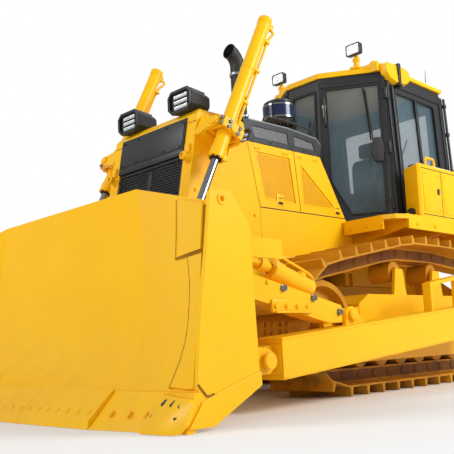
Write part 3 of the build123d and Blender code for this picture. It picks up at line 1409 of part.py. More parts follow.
for name, sign in sides:
    with BuildPart() as lift_barrel:
        # radius, lower and upper ends of each round length, measured up from the trunnion
        for radius, low, high in ((barrel_radius, -barrel_below, barrel_above),
                                  (collar_radius, -barrel_below, -barrel_below + 90),
                                  (collar_radius - 2, barrel_above - 50, barrel_above),
                                  (trunnion_seat - 3, -48, 48)):
            with Locations(barrel_plane(sign, (low + high) / 2)):
                Cylinder(radius, high - low)
        with Locations(Plane((sign * lift_x, *lift_pivot), x_dir=(0, 1, 0), z_dir=(1, 0, 0))):
            Cylinder(trunnion_pin_radius, 2 * yoke_half)
        with Locations(barrel_plane(sign, (barrel_above - cap_thickness - barrel_below + 70) / 2)):
            Cylinder(bore_radius, barrel_above - cap_thickness + barrel_below - 70, mode=Mode.SUBTRACT)
        with Locations(barrel_plane(sign, -barrel_below)):
            Cylinder(rod_radius + running_gap, 200, mode=Mode.SUBTRACT)
    finish(lift_barrel, "lift_barrel_" + name)

    with BuildPart() as lift_rod:
        with Locations(barrel_plane(sign, -lift_length + rod_length / 2 + eye_radius / 4)):
            Cylinder(rod_radius, rod_length - eye_radius / 2)
        with Locations(barrel_plane(sign, rod_length - lift_length - 40)):
            Cylinder(bore_radius - running_gap, 80)
        with Locations(Plane((sign * lift_x, *lift_eye), x_dir=(0, 1, 0), z_dir=(1, 0, 0))):
            Cylinder(eye_radius, eye_width)
            Cylinder(lift_pin_radius + pin_gap, eye_width + 2, mode=Mode.SUBTRACT)
    finish(lift_rod, "lift_rod_" + name)

yoke_inner, yoke_outer, yoke_height = 90, 116, 90
yoke_face = lift_ear_reach - lift_ear       # inner face of the ears
with BuildPart() as lift_yokes:
    for _, sign in sides:
        with BuildSketch(barrel_plane(sign, -yoke_height / 2)) as ring:
            Rectangle(2 * yoke_half, 2 * yoke_outer)
            Rectangle(2 * trunnion_seat, 2 * yoke_inner, mode=Mode.SUBTRACT)
        extrude(ring.sketch, amount=yoke_height)
        with Locations(Plane((sign * lift_x, *lift_pivot), x_dir=(0, 1, 0), z_dir=(1, 0, 0))):
            Cylinder(trunnion_pin_radius + pin_gap, 2 * yoke_half + 2, mode=Mode.SUBTRACT)
        for side in (-1, 1):
            # a boss up to the ear, and the pin through it
            for radius, far in ((36, yoke_face - 3), (yoke_pin, lift_ear_reach + 12)):
                near = yoke_outer - 10
                with Locations(lift_plane(sign, side * (near + far) / 2)):
                    Cylinder(radius, far - near)
finish(lift_yokes, "lift_yokes")
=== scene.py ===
from math import atan2, cos, hypot, pi, radians, sin, tan

import bmesh
import bpy
from mathutils import Matrix, Vector
from mathutils.bvhtree import BVHTree


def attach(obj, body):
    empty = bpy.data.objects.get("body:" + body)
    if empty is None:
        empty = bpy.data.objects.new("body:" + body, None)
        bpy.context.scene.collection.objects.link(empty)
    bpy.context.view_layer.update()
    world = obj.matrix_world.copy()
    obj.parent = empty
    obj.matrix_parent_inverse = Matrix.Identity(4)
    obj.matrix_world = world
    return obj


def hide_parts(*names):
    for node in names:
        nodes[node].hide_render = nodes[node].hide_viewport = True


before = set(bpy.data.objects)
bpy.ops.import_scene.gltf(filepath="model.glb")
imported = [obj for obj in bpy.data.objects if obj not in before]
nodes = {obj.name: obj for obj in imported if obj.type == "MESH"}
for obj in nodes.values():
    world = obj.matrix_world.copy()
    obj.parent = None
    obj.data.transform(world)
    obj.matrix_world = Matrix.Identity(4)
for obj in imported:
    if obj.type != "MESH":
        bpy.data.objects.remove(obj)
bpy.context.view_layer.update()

# A crawler dozer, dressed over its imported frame. Metres, X to the driver's left, Y rearwards, Z up.
SIDES = (("left", 1), ("right", -1))


# ---------------------------------------------------------------- materials
class Wire:
    """A socket of a node tree. Sums on wires add Math nodes to the tree."""

    def __init__(self, graph, socket):
        self.graph = graph
        self.socket = socket

    def sum(self, operation, *values):
        return self.graph.node("ShaderNodeMath", {"operation": operation}, dict(enumerate(values)))

    def __add__(self, other):
        return self.sum("ADD", self, other)

    def __radd__(self, other):
        return self.sum("ADD", other, self)

    def __sub__(self, other):
        return self.sum("SUBTRACT", self, other)

    def __rsub__(self, other):
        return self.sum("SUBTRACT", other, self)

    def __mul__(self, other):
        return self.sum("MULTIPLY", self, other)

    def __rmul__(self, other):
        return self.sum("MULTIPLY", other, self)

    def __truediv__(self, other):
        return self.sum("DIVIDE", self, other)

    def above(self, edge, softness):
        """0 under the edge, rising to 1 over the softness."""
        return self.graph.node("ShaderNodeMapRange", {}, {"Value": self, "From Min": edge,
                                                          "From Max": edge + softness})


class Graph:
    """A node tree under construction, and the one method that adds its nodes."""

    def node(self, kind, settings=None, values=None, out=0):
        made = self.tree.nodes.new(kind)
        for key, value in (settings or {}).items():
            if key == "stops":
                while len(made.color_ramp.elements) < len(value):
                    made.color_ramp.elements.new(1)
                for stop, (place, colour) in zip(made.color_ramp.elements, value):
                    stop.position = place
                    stop.color = (*colour, 1)
            else:
                setattr(made, key, value)
        for key, value in (values or {}).items():
            if isinstance(value, Wire):
                self.tree.links.new(value.socket, made.inputs[key])
            else:
                made.inputs[key].default_value = value
        return Wire(self, made.outputs[out]) if made.outputs else None


class Finish(Graph):
    """A material under construction."""

    def __init__(self, name):
        self.material = bpy.data.materials.new(name)
        self.material.use_nodes = True
        self.tree = self.material.node_tree
        self.tree.nodes.clear()

    def place(self):
        """The point being shaded, in metres, as the object's own coordinates."""
        return self.node("ShaderNodeTexCoord", out="Object")

    def axis(self, letter):
        return self.node("ShaderNodeSeparateXYZ", {}, {0: self.place()}, out=letter)

    def noise(self, scale, detail=3.0, roughness=0.5):
        return self.node("ShaderNodeTexNoise", {}, {"Vector": self.place(), "Scale": scale, "Detail": detail,
                                                   "Roughness": roughness})

    def blend(self, share, first, second):
        """A colour between two colours."""
        return self.node("ShaderNodeMix", {"data_type": "RGBA"}, {0: share, 6: first, 7: second}, out=2)

    def bump(self, height, distance, strength=1.0):
        return self.node("ShaderNodeBump", {}, {"Height": height, "Distance": distance, "Strength": strength})

    def surface(self, **values):
        """Ends the material in a Principled shader."""
        shader = self.node("ShaderNodeBsdfPrincipled", {}, {key.replace("_", " "): value
                                                          for key, value in values.items()})
        return self.close(shader)

    def close(self, shader):
        self.node("ShaderNodeOutputMaterial", {}, {"Surface": shader})
        return self.material


def rgb(red, green, blue):
    """A colour written as it looks on screen, turned into the renderer's linear values."""
    return tuple(((value / 255 + 0.055) / 1.055) ** 2.4 if value > 10 else value / 255 / 12.92
                 for value in (red, green, blue)) + (1.0,)


def machine_paint(name, clean, shaded, dust, roughness, grit):
    """Sprayed enamel: a fine orange-peel skin, slow changes of tone, and dust that gathers low down."""
    paint = Finish(name)
    tone = paint.noise(1.7, 4)
    fine = paint.noise(60, 3)
    low = 1 - paint.axis("Z").above(0.15, 0.9)
    dusty = (low * paint.noise(5, 5, 0.6).above(0.42, 0.3)) * grit
    colour = paint.blend(tone.above(0.35, 0.4), shaded, clean)
    colour = paint.blend(dusty, colour, dust)
    peel = paint.noise(260, 2)
    return paint.surface(Base_Color=colour, Roughness=fine * 0.1 + (roughness - 0.05) + dusty * 0.3,
                         Coat_Weight=0.07, Coat_Roughness=0.1, Specular_IOR_Level=0.22,
                         Normal=paint.bump(peel, 0.0004, 0.3))


def plain_metal(name, light, dark, roughness, metallic=1.0):
    """Bare or plated metal with brushed variation."""
    metal = Finish(name)
    brushed = metal.node("ShaderNodeTexNoise", {}, {"Vector": metal.node(
        "ShaderNodeMapping", {}, {"Vector": metal.place(), "Scale": (1, 1, 12)}), "Scale": 45, "Detail": 4})
    return metal.surface(Base_Color=metal.blend(brushed, dark, light), Metallic=metallic,
                         Roughness=brushed * 0.14 + roughness, Normal=metal.bump(brushed, 0.0003, 0.3))


def dull_skin(name, light, dark, roughness, scale, depth):
    """Satin paint, rubber or moulded plastic with a fine grain."""
    skin = Finish(name)
    grain = skin.noise(scale, 4)
    return skin.surface(Base_Color=skin.blend(skin.noise(3, 3), dark, light),
                        Roughness=grain * 0.15 + roughness, Normal=skin.bump(grain, depth, 0.5))


def tinted_glass():
    """Cab glazing, seen dark from outside, with a faint uneven film of dust."""
    glass = Finish("cab_glass")
    film = glass.noise(2.2, 3)
    return glass.surface(Base_Color=glass.blend(film, rgb(96, 122, 134), rgb(120, 146, 158)),
                         Roughness=0.02, Alpha=0.26 + film * 0.10, Specular_IOR_Level=0.7,
                         Coat_Weight=0.3, Coat_Roughness=0.02)


def woven_cloth(name, light, dark):
    """Seat cloth: two crossed sets of ridges."""
    cloth = Finish(name)
    warp = cloth.node("ShaderNodeTexWave", {"bands_direction": "X"},
                      {"Vector": cloth.place(), "Scale": 160}, out=1)
    weft = cloth.node("ShaderNodeTexWave", {"bands_direction": "Z"},
                      {"Vector": cloth.place(), "Scale": 160}, out=1)
    weave = warp * weft
    return cloth.surface(Base_Color=cloth.blend(weave, dark, light), Roughness=0.9,
                         Normal=cloth.bump(weave, 0.0006, 0.6))


def lamp_glass():
    """Fluted lamp glass over a bright reflector."""
    lens = Finish("lamp_glass")
    flutes = lens.node("ShaderNodeTexWave", {"bands_direction": "X"}, {"Vector": lens.place(), "Scale": 28},
                       out=1)
    return lens.surface(Base_Color=lens.blend(flutes, rgb(178, 182, 186), rgb(244, 246, 248)), Metallic=0.35,
                        Roughness=flutes * 0.1 + 0.12, Coat_Weight=0.8, Coat_Roughness=0.02,
                        Normal=lens.bump(flutes, 0.002, 0.5))


YELLOW = machine_paint("enamel_yellow", rgb(255, 197, 14), rgb(252, 191, 12), rgb(214, 166, 56), 0.34, 0.22)
# Darker, browner yellow for the tracks, their wheels and bolts: painted shade, over dust low down.
SHADED_TRACK_YELLOW = machine_paint(
    "track_yellow_painted_shade", rgb(222, 158, 24), rgb(190, 128, 20), rgb(128, 94, 52), 0.55, 0.9)
BLACK = dull_skin("satin_black", rgb(38, 41, 43), rgb(25, 27, 29), 0.34, 180, 0.0003)
GRILLE_BLACK = dull_skin("grille_black", rgb(38, 40, 42), rgb(24, 26, 28), 0.5, 120, 0.0004)
RUBBER = dull_skin("rubber_black", rgb(34, 34, 34), rgb(22, 22, 22), 0.62, 220, 0.0004)
PLASTIC = dull_skin("moulded_plastic", rgb(58, 60, 62), rgb(44, 46, 48), 0.55, 300, 0.0004)
ENGINE_GREY = dull_skin("engine_casting", rgb(96, 98, 98), rgb(66, 68, 68), 0.6, 60, 0.001)
# Chrome with a darker base than real chrome: painted dark reflection.
DARKENED_CHROME = plain_metal("hard_chrome_painted_dark_reflection", rgb(176, 181, 186), rgb(132, 138, 144), 0.07)
STEEL = plain_metal("bare_steel", rgb(180, 182, 184), rgb(128, 130, 132), 0.3)
CLOTH = woven_cloth("seat_cloth", rgb(62, 64, 68), rgb(34, 36, 40))
GLASS = tinted_glass()
MESH_GREY = dull_skin("mesh_grey", rgb(150, 154, 156), rgb(118, 122, 124), 0.4, 200, 0.0002)
BOWL_BLUE = dull_skin("bowl_blue", rgb(24, 44, 92), rgb(14, 26, 58), 0.12, 90, 0.0001)
WHITE = dull_skin("handle_white", rgb(236, 236, 232), rgb(214, 214, 210), 0.35, 200, 0.0002)
LENS = lamp_glass()
# Darker yellow for the doors' punched sheets: painted shade in their pressed fields.
SHADED_FIELD_YELLOW = machine_paint(
    "field_yellow_painted_shade", rgb(232, 172, 16), rgb(222, 162, 14), rgb(186, 142, 56), 0.4, 0.3)
# Brown for the chain links under the tracks: painted shade.
SHADED_CHAIN_BROWN = machine_paint("chain_painted_shade_brown", rgb(150, 98, 30), rgb(112, 70, 26), rgb(104, 76, 46), 0.6, 0.9)
# Brown weld beads on the blade: painted shadow lines along plate edges.
WELD_SHADOW_BROWN = machine_paint("weld_bead_painted_shadow", rgb(168, 116, 20), rgb(142, 94, 16), rgb(116, 84, 44), 0.6, 0.5)

slot_finishes = {
    "yellow_paint": (YELLOW, SHADED_FIELD_YELLOW),
    "track_paint": (SHADED_TRACK_YELLOW, SHADED_CHAIN_BROWN, WELD_SHADOW_BROWN),
    "black_paint": (BLACK, GRILLE_BLACK, RUBBER, MESH_GREY, BOWL_BLUE),
    "inside_plastic": (PLASTIC, WHITE),
    "engine_grey": (ENGINE_GREY,),
    "rod_chrome": (DARKENED_CHROME,),
    "wear_steel": (STEEL,),
    "seat_cloth": (CLOTH,),
    "glass": (GLASS, LENS),
}
SLOTS = {finish: slot for slot, finishes in slot_finishes.items() for finish in finishes}

node_finish = {
    SHADED_TRACK_YELLOW: ["track_left", "track_right", "track_rollers", "carrier_rollers", "idlers", "sprockets"],
    BLACK: ["header_panel", "hood_screens", "hood_lamps", "precleaner", "cab_frame", "roof_lamps",
            "cab_door_left", "cab_door_right"],
    GRILLE_BLACK: ["grille", "exhaust"],
    GLASS: ["cab_windows", "door_glass_left", "door_glass_right"],
    DARKENED_CHROME: ["lift_rod_left", "lift_rod_right"],
    STEEL: ["pivot_shaft"],
    ENGINE_GREY: ["engine"],
    CLOTH: ["seat_cushion", "seat_backrest"],
    PLASTIC: ["seat_base", "consoles"],
}


def dress_nodes():
    """Gives every node of the frame its finish. What isn't listed is painted yellow."""
    chosen = {name: finish for finish, names in node_finish.items() for name in names}
    for name, node in nodes.items():
        node.data.materials.clear()
        node.data.materials.append(chosen.get(name, YELLOW))


dress_nodes()


# ---------------------------------------------------------------- repeats and shapes
def linked(name, data):
    """A new object in the scene."""
    made = bpy.data.objects.new(name, data)
    bpy.context.scene.collection.objects.link(made)
    return made


def plain_mesh(holder):
    """What an object's modifier or curve makes, as a plain mesh. The object itself goes."""
    made = bpy.data.meshes.new_from_object(holder.evaluated_get(bpy.context.evaluated_depsgraph_get()))
    bpy.data.objects.remove(holder)
    return made


class Repeat(Graph):
    """A Geometry Nodes tree under construction, with named inputs for its sizes."""

    def __init__(self, name, **sizes):
        self.tree = bpy.data.node_groups.new(name, "GeometryNodeTree")
        sockets = self.tree.interface
        sockets.new_socket("Seats", in_out="INPUT", socket_type="NodeSocketGeometry")
        self.keys = {
            label: sockets.new_socket(label, in_out="INPUT", socket_type="NodeSocket" + kind).identifier
            for label, kind in {**sizes, "Finish": "Material"}.items()}
        sockets.new_socket("Made", in_out="OUTPUT", socket_type="NodeSocketGeometry")
        self.given = self.tree.nodes.new("NodeGroupInput")

    def given_size(self, label):
        """One of the tree's named inputs."""
        return Wire(self, self.given.outputs[label])

    def close(self, form):
        real = self.node("GeometryNodeRealizeInstances", {}, {"Geometry": form})
        coated = self.node("GeometryNodeSetMaterial", {},
                           {"Geometry": real, "Material": self.given_size("Finish")})
        self.node("NodeGroupOutput", {}, {0: coated})
        return self

    def grow(self, name, seats, **sizes):
        """Runs the tree over a mesh of seats and returns the plain mesh that it makes."""
        holder = linked(name, seats)
        modifier = holder.modifiers.new("repeat", "NODES")
        modifier.node_group = self.tree
        for label, value in sizes.items():
            modifier[self.keys[label]] = value
        holder.update_tag()
        return plain_mesh(holder)


def turned_to_seat(tree, form):
    """Sets a form on every seat, with its Z along the seat's facing and its X along the seat's run."""
    facing, run = (tree.node("GeometryNodeInputNamedAttribute", {"data_type": "FLOAT_VECTOR"}, {"Name": name})
                   for name in ("facing", "run"))
    turn = tree.node("FunctionNodeAxesToRotation", {"primary_axis": "Z", "secondary_axis": "X"},
                     {0: facing, 1: run})
    points = tree.node("GeometryNodeMeshToPoints", {}, {"Mesh": tree.given_size("Seats")})
    return tree.node("GeometryNodeInstanceOnPoints", {},
                     {"Points": points, "Instance": form, "Rotation": turn})


def fastener_tree():
    """A bolt's head on its washer."""
    tree = Repeat("fasteners", Head="Float", Height="Float", Sides="Int", Washer="Float", Thickness="Float")
    head, height, sides, washer, thickness = (tree.given_size(label) for label in (
        "Head", "Height", "Sides", "Washer", "Thickness"))
    forms = []
    for count, radius, depth, middle in ((14, washer, thickness, thickness * 0.5),
                                         (sides, head, height, thickness + height * 0.5)):
        round_form = tree.node("GeometryNodeMeshCylinder", {},
                               {"Vertices": count, "Radius": radius, "Depth": depth})
        lift = tree.node("ShaderNodeCombineXYZ", {}, {"Z": middle})
        forms.append(tree.node("GeometryNodeTransform", {}, {"Geometry": round_form, "Translation": lift}))
    both = tree.node("GeometryNodeJoinGeometry", {}, {0: forms[0]})
    tree.tree.links.new(forms[1].socket, both.socket.node.inputs[0])
    return tree.close(turned_to_seat(tree, both))


def copy_tree():
    """A small part of the machine on each seat."""
    tree = Repeat("copies", Part="Object")
    part = tree.node("GeometryNodeObjectInfo", {"transform_space": "ORIGINAL"},
                     {"Object": tree.given_size("Part"), "As Instance": False}, out="Geometry")
    return tree.close(turned_to_seat(tree, part))


def seat_mesh(name, seats):
    """Vertices with the way each faces and runs, for a tree to work over."""
    mesh = bpy.data.meshes.new(name)
    mesh.from_pydata([seat[0] for seat in seats], [], [])
    for label, index in (("facing", 1), ("run", 2)):
        values = mesh.attributes.new(label, "FLOAT_VECTOR", "POINT").data
        for value, seat in zip(values, seats):
            value.vector = seat[index]
    return mesh


FASTENERS = fastener_tree()
COPIES = copy_tree()
seats_taken = {}


def bolt(body, kind, place, facing):
    """Notes a fastener's seat. fit_fasteners() makes them all."""
    facing = Vector(facing).normalized()
    seats_taken.setdefault((body, kind), []).append((Vector(place), facing, facing.orthogonal()))


def bolts(kind, places, facing, body="tractor"):
    """Notes the seats of like fasteners on both sides of the machine."""
    for side in (-1, 1):
        for x, y, z in places:
            bolt(body, kind, (side * x, y, z), (side * facing[0], *facing[1:]))


def ring_points(radius, count, turn=0.0):
    """Points spaced evenly round a circle."""
    return [(radius * cos(turn + 2 * pi * step / count), radius * sin(turn + 2 * pi * step / count))
            for step in range(count)]


def bolt_circle(kind, centre, radius, count, facing, body="tractor"):
    """Notes a circle of fasteners round an axis across the machine."""
    x, y, z = centre
    for along, up in ring_points(radius, count):
        bolt(body, kind, (x, y + along, z + up), facing)


pole_gap = 2e-6
bevel_from, sharp_from = radians(30), radians(32)


class Shape:
    """One piece's mesh while it is put together, in the machine's own place."""

    def __init__(self):
        self.mesh = bmesh.new()

    def skin(self, rings, joined=False):
        """A closed shell through a run of rings, capped at both ends or joined from last to first."""
        rows = [[self.mesh.verts.new(point) for point in ring] for ring in rings]
        for near, far in zip(rows, rows[1:] + rows[:1] if joined else rows[1:]):
            for here in range(len(near)):
                after = (here + 1) % len(near)
                self.mesh.faces.new((near[here], near[after], far[after], far[here]))
        if not joined:
            self.mesh.faces.new(rows[0])
            self.mesh.faces.new(rows[-1])
        return self

    def block(self, low, high):
        """A box between two corners."""
        (x0, y0, z0), (x1, y1, z1) = low, high
        return self.plate(((x0, y0), (x1, y0), (x1, y1), (x0, y1)), "Z", z0, z1)

    def plate(self, outline, axis, near, far):
        """A flat outline across an axis, given its thickness along that axis."""
        place = {"X": lambda point, at: (at, *point), "Y": lambda point, at: (point[0], at, point[1]),
                 "Z": lambda point, at: (*point, at)}[axis]
        return self.skin([[place(point, at) for point in outline] for at in (near, far)])

    def turned(self, profile, foot, direction, steps=20):
        """A round form of (radius, distance) pairs about an axis: a ring unless it starts at radius 0."""
        along = Vector(direction).normalized()
        side = along.orthogonal().normalized()
        up = along.cross(side)
        turns = [2 * pi * step / steps for step in range(steps)]
        return self.skin([[Vector(foot) + along * distance + (side * cos(turn) + up * sin(turn)) * radius
                           for turn in turns] for radius, distance in profile], joined=profile[0][0] > 0)

    def slab(self, corner, across, up, through):
        """A box from a corner, along three vectors."""
        corner, across, up, through = (Vector(value) for value in (corner, across, up, through))
        ring = (corner, corner + across, corner + across + up, corner + up)
        return self.skin([ring, [point + through for point in ring]])

    def frame(self, outer, inner, through):
        """A flat frame between two outlines of equal count, given its thickness by a vector."""
        through = Vector(through)
        return self.skin([[Vector(point) + shift for point in ring] for ring, shift in (
            (outer, through * 0), (inner, through * 0), (inner, through), (outer, through))], joined=True)

    def sheet(self, rows, through):
        """A closed sheet over rows of points, given its thickness by a vector."""
        through = Vector(through)
        return self.skin([list(row) + [point + through for point in reversed(row)] for row in rows])

    def both_sides(self):
        """Adds the mirror image across the machine."""
        parts = [*self.mesh.verts, *self.mesh.edges, *self.mesh.faces]
        twin = bmesh.ops.duplicate(self.mesh, geom=parts)
        for corner in twin["geom"]:
            if isinstance(corner, bmesh.types.BMVert):
                corner.co.x *= -1
        return self

    def face_outwards(self):
        bmesh.ops.recalc_face_normals(self.mesh, faces=list(self.mesh.faces))

    def close_poles(self):
        """Joins the corners that a turned form has at each pole."""
        bmesh.ops.remove_doubles(self.mesh, verts=list(self.mesh.verts), dist=pole_gap)
        self.face_outwards()

    def finished(self, name):
        """The mesh itself, when nothing more is added."""
        mesh = bpy.data.meshes.new(name)
        self.mesh.to_mesh(mesh)
        self.mesh.free()
        return mesh


def add_piece(name, mesh, finish, body="tractor", stands_for=()):
    """A finished mesh becomes a piece that rides on a body."""
    made = linked(name, mesh)
    if not mesh.materials:
        mesh.materials.append(finish)
    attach(made, body)
    if stands_for:
        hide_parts(*stands_for)
    return made


def piece(name, shape, finish, body="tractor", bevel=0.0, stands_for=()):
    """Closes a shape's poles, rounds its edges, turns its faces outwards and adds it."""
    shape.close_poles()
    if bevel:
        sharp = [edge for edge in shape.mesh.edges
                 if len(edge.link_faces) == 2 and edge.calc_face_angle(0) > bevel_from]
        bmesh.ops.bevel(shape.mesh, geom=sharp, offset=bevel, segments=2, profile=0.5, affect="EDGES",
                        clamp_overlap=True)
        shape.face_outwards()
    mesh = shape.finished(name)
    mesh.shade_smooth()
    mesh.set_sharp_from_angle(angle=sharp_from)
    return add_piece(name, mesh, finish, body, stands_for)


def bent_pipes(name, routes, radius, finish, body="tractor"):
    """Rigid pipes, each on a smooth curve through its route."""
    line = bpy.data.curves.new(name, "CURVE")
    line.dimensions = "3D"
    line.bevel_depth = radius
    line.bevel_resolution = 3
    line.use_fill_caps = True
    for route in routes:
        spline = line.splines.new("NURBS")
        spline.points.add(len(route) - 1)
        for point, place in zip(spline.points, route):
            point.co = (*place, 1)
        spline.order_u = 3
        spline.use_endpoint_u = True
        spline.resolution_u = 5
    mesh = plain_mesh(linked(name, line))
    mesh.shade_smooth()
    mesh.materials.clear()
    return add_piece(name, mesh, finish, body)


def copies(name, shape, seats, finish, body="tractor"):
    """One small shape set on many seats of (place, facing, run)."""
    shape.close_poles()
    one = linked(name + "_one", shape.finished(name + "_one"))
    made = COPIES.grow(name, seat_mesh(name, seats), Part=one, Finish=finish)
    bpy.data.objects.remove(one)
    return add_piece(name, made, finish, body)


def both_ways(route):
    """A route and its mirror image across the machine."""
    return [[(side * x, y, z) for x, y, z in route] for side in (-1, 1)]


def facing_seats(places, facing, run):
    """Seats that all face and run the same way."""
    return [(Vector(place), Vector(facing).normalized(), Vector(run)) for place in places]


def inside(outline, point, margin):
    """True where a point lies in a convex outline, at least a margin from its edges."""
    turns = []
    for here, after in zip(outline, outline[1:] + outline[:1]):
        edge = Vector(after) - Vector(here)
        turns.append(edge.normalized().cross(Vector(point) - Vector(here)))
    return min(turns) > margin or max(turns) < -margin


def mesh_cell(pitch, bar, depth):
    """One cell of a punched mesh: a hexagonal ring as deep as the sheet."""
    outer = [(x, y, 0) for x, y in ring_points(pitch / 3 ** 0.5, 6, pi / 2)]
    inner = [(x, y, 0) for x, y in ring_points((pitch - bar) / 3 ** 0.5, 6, pi / 2)]
    return Shape().frame(outer, inner, (0, 0, depth))


def cell_places(width, height, pitch, fits):
    """The middles of a mesh's cells over a field, row by row, where they fit."""
    rise = pitch * 3 ** 0.5 / 2
    rows, columns = int(height / rise) + 1, int(width / pitch) + 1
    for row in range(-rows, rows + 1):
        for column in range(-columns, columns + 1):
            across, up = (column + 0.5 * (row % 2)) * pitch, row * rise
            if fits(across, up):
                yield across, up


# ---------------------------------------------------------------- radiator guard and hood
face_top_y, face_top_z, face_slope = -1.563, 2.4, 0.2
face_out = Vector((0, -1, face_slope)).normalized()
face_up = Vector((0, face_slope, 1)).normalized()
grille_low, grille_high, grille_half = 1.180, 2.070, 0.459
hood_half, guard_half = 0.575, 0.580


def on_face(x, z, out=0.0):
    """A point on the machine's leaning front face, or off it by a distance."""
    return Vector((x, face_top_y - face_slope * (face_top_z - z), z)) + face_out * out


def face_frame(half, low, high, rim, near, far):
    """A flat rectangular frame on the front face, between two distances off it."""
    outer = [on_face(*corner, near) for corner in ((-half, low), (half, low), (half, high), (-half, high))]
    inner = [on_face(*corner, near) for corner in ((rim - half, low + rim), (half - rim, low + rim),
                                                   (half - rim, high - rim), (rim - half, high - rim))]
    return Shape().frame(outer, inner, face_out * (far - near))


def build_grille():
    """The grille's mesh, surround, middle strip and bolts, and the radiator behind it."""
    pitch, bar = 0.030, 0.008
    middle = (grille_low + grille_high) / 2
    reach = (grille_high - grille_low) / 2 - 0.012
    places = cell_places(grille_half, reach, pitch,
                         lambda x, up: 0.026 < abs(x) < grille_half - 0.012 and abs(up) < reach)
    seats = [(on_face(x, middle, -0.024) + face_up * up, face_out, Vector((1, 0, 0))) for x, up in places]
    copies("grille_mesh", mesh_cell(pitch, bar, 0.006), seats, GRILLE_BLACK)
    surround = face_frame(grille_half, grille_low + 0.001, grille_high - 0.001, 0.028, -0.030, -0.008)
    piece("grille_frame", surround, GRILLE_BLACK, bevel=0.003, stands_for=["grille"])
    strip = Shape().slab(on_face(-0.028, grille_low + 0.01, -0.026), (0.056, 0, 0),
                         face_up * (grille_high - grille_low - 0.04), face_out * 0.012)
    piece("grille_strip", strip, GRILLE_BLACK, bevel=0.003)
    for step in range(7):
        bolt("tractor", "dark", on_face(0, 1.25 + 0.125 * step, -0.014), face_out)
    bolts("dark", [on_face(0.445, 1.24 + 0.19 * step, -0.008) for step in range(5)], face_out)
    fins = facing_seats([on_face(-0.44 + 0.02 * step, 1.2, -0.075) for step in range(45)], face_up, (1, 0, 0))
    copies("radiator_fins", Shape().block((-0.0015, -0.02, 0), (0.0015, 0.02, 0.86)), fins, GRILLE_BLACK)
    piece("radiator_core", Shape().slab(on_face(-0.45, 1.19, -0.13), (0.9, 0, 0), face_up * 0.88,
                                        face_out * 0.03), GRILLE_BLACK)


def build_header():
    """The bare header panel: a raised flat field over a lower lip, and its screws."""
    field = Shape().slab(on_face(-0.44, 2.132, 0.012), (0.88, 0, 0), face_up * 0.248, face_out * 0.005)
    piece("header_field", field, BLACK, bevel=0.004)
    lip = Shape().slab(on_face(-0.44, 2.080, 0.009), (0.88, 0, 0), face_up * 0.046, face_out * 0.005)
    piece("header_lip", lip, BLACK, bevel=0.003)
    for x in (-0.415, -0.2, 0.2, 0.415):
        for z in (2.365, 2.148):
            bolt("tractor", "dark", on_face(x, z, 0.017), face_out)


def lamp_outline(width, height, corner, at):
    """A rectangle with cut corners, across the machine at a Y."""
    across, up = width / 2, height / 2
    return [(x, at, z) for x, z in ((-across, corner - up), (corner - across, -up), (across - corner, -up),
                                    (across, corner - up), (across, up - corner), (across - corner, up),
                                    (corner - across, up), (-across, up - corner))]


def build_hood_lamps():
    """Rims, trays, barred lenses, fins and bolts on the two hood lamps."""
    lamp = Vector((0.372, 0, 2.574))
    rim = [[Vector(point) + lamp for point in lamp_outline(width, height, corner, -1.5695)]
           for width, height, corner in ((0.306, 0.208, 0.048), (0.252, 0.154, 0.026))]
    piece("lamp_rims", Shape().frame(*rim, (0, -0.012, 0)).both_sides(), BLACK, bevel=0.003)
    tray = Shape()
    tray.skin([[Vector(point) + lamp for point in lamp_outline(0.25, 0.152, 0.025, at)]
               for at in (-1.5525, -1.5560)])
    piece("lamp_trays", tray.both_sides(), GRILLE_BLACK)
    bars, ribs = Shape(), Shape()
    for up in (-0.048, 0.0, 0.048):
        profile = [(-1.5555, up - 0.017), (-1.5625, up - 0.015), (-1.5655, up), (-1.5625, up + 0.015),
                   (-1.5555, up + 0.017)]
        bars.skin([[(lamp.x + across, y, lamp.z + z) for y, z in profile] for across in (-0.085, 0.085)])
        ribs.skin([[(lamp.x + across, y, lamp.z + up + z) for y, z in (
            (-1.5555, 0.021), (-1.5675, 0.021), (-1.5675, 0.026), (-1.5555, 0.026))]
                   for across in (-0.1, 0.1)])
    piece("lamp_bars", bars.both_sides(), LENS)
    piece("lamp_ribs", ribs.both_sides(), BLACK)
    # cooling fins on the housings' backs, and the bolts on their feet
    fins = [(Vector((side * (0.30 + 0.024 * step), -1.44, 2.678)), Vector((0, 0.12, 1)).normalized(),
             Vector((1, 0, 0))) for side in (-1, 1) for step in range(7)]
    copies("lamp_fins", Shape().block((-0.002, -0.06, -0.03), (0.002, 0.10, 0.006)), fins, BLACK)
    bolts("dark", [(across, -1.36, 2.4735) for across in (0.322, 0.422)], (0, 0, 1))


def strip_outline(shape, outline, width, near, far, place):
    """A thin closed strip along an outline, on a surface that place maps to."""
    middle = sum((Vector(corner) for corner in outline), Vector((0, 0))) / len(outline)
    inner = [Vector(corner) + (middle - Vector(corner)).normalized() * width for corner in outline]
    rows = [[place(corner, near) for corner in ring] for ring in (outline, inner)]
    through = Vector(place(outline[0], far)) - Vector(place(outline[0], near))
    return shape.frame(*rows, through)


def hood_side(corner, at):
    """A (Y, Z) corner, set at an X on the hood's side."""
    return Vector((at, *corner))


screen_windows = (((-0.877, 2.320), (-0.912, 2.430), (-0.401, 2.435), (-0.381, 2.320)),
                  ((-0.321, 2.320), (-0.321, 2.432), (-0.020, 2.400), (0.010, 2.320)))


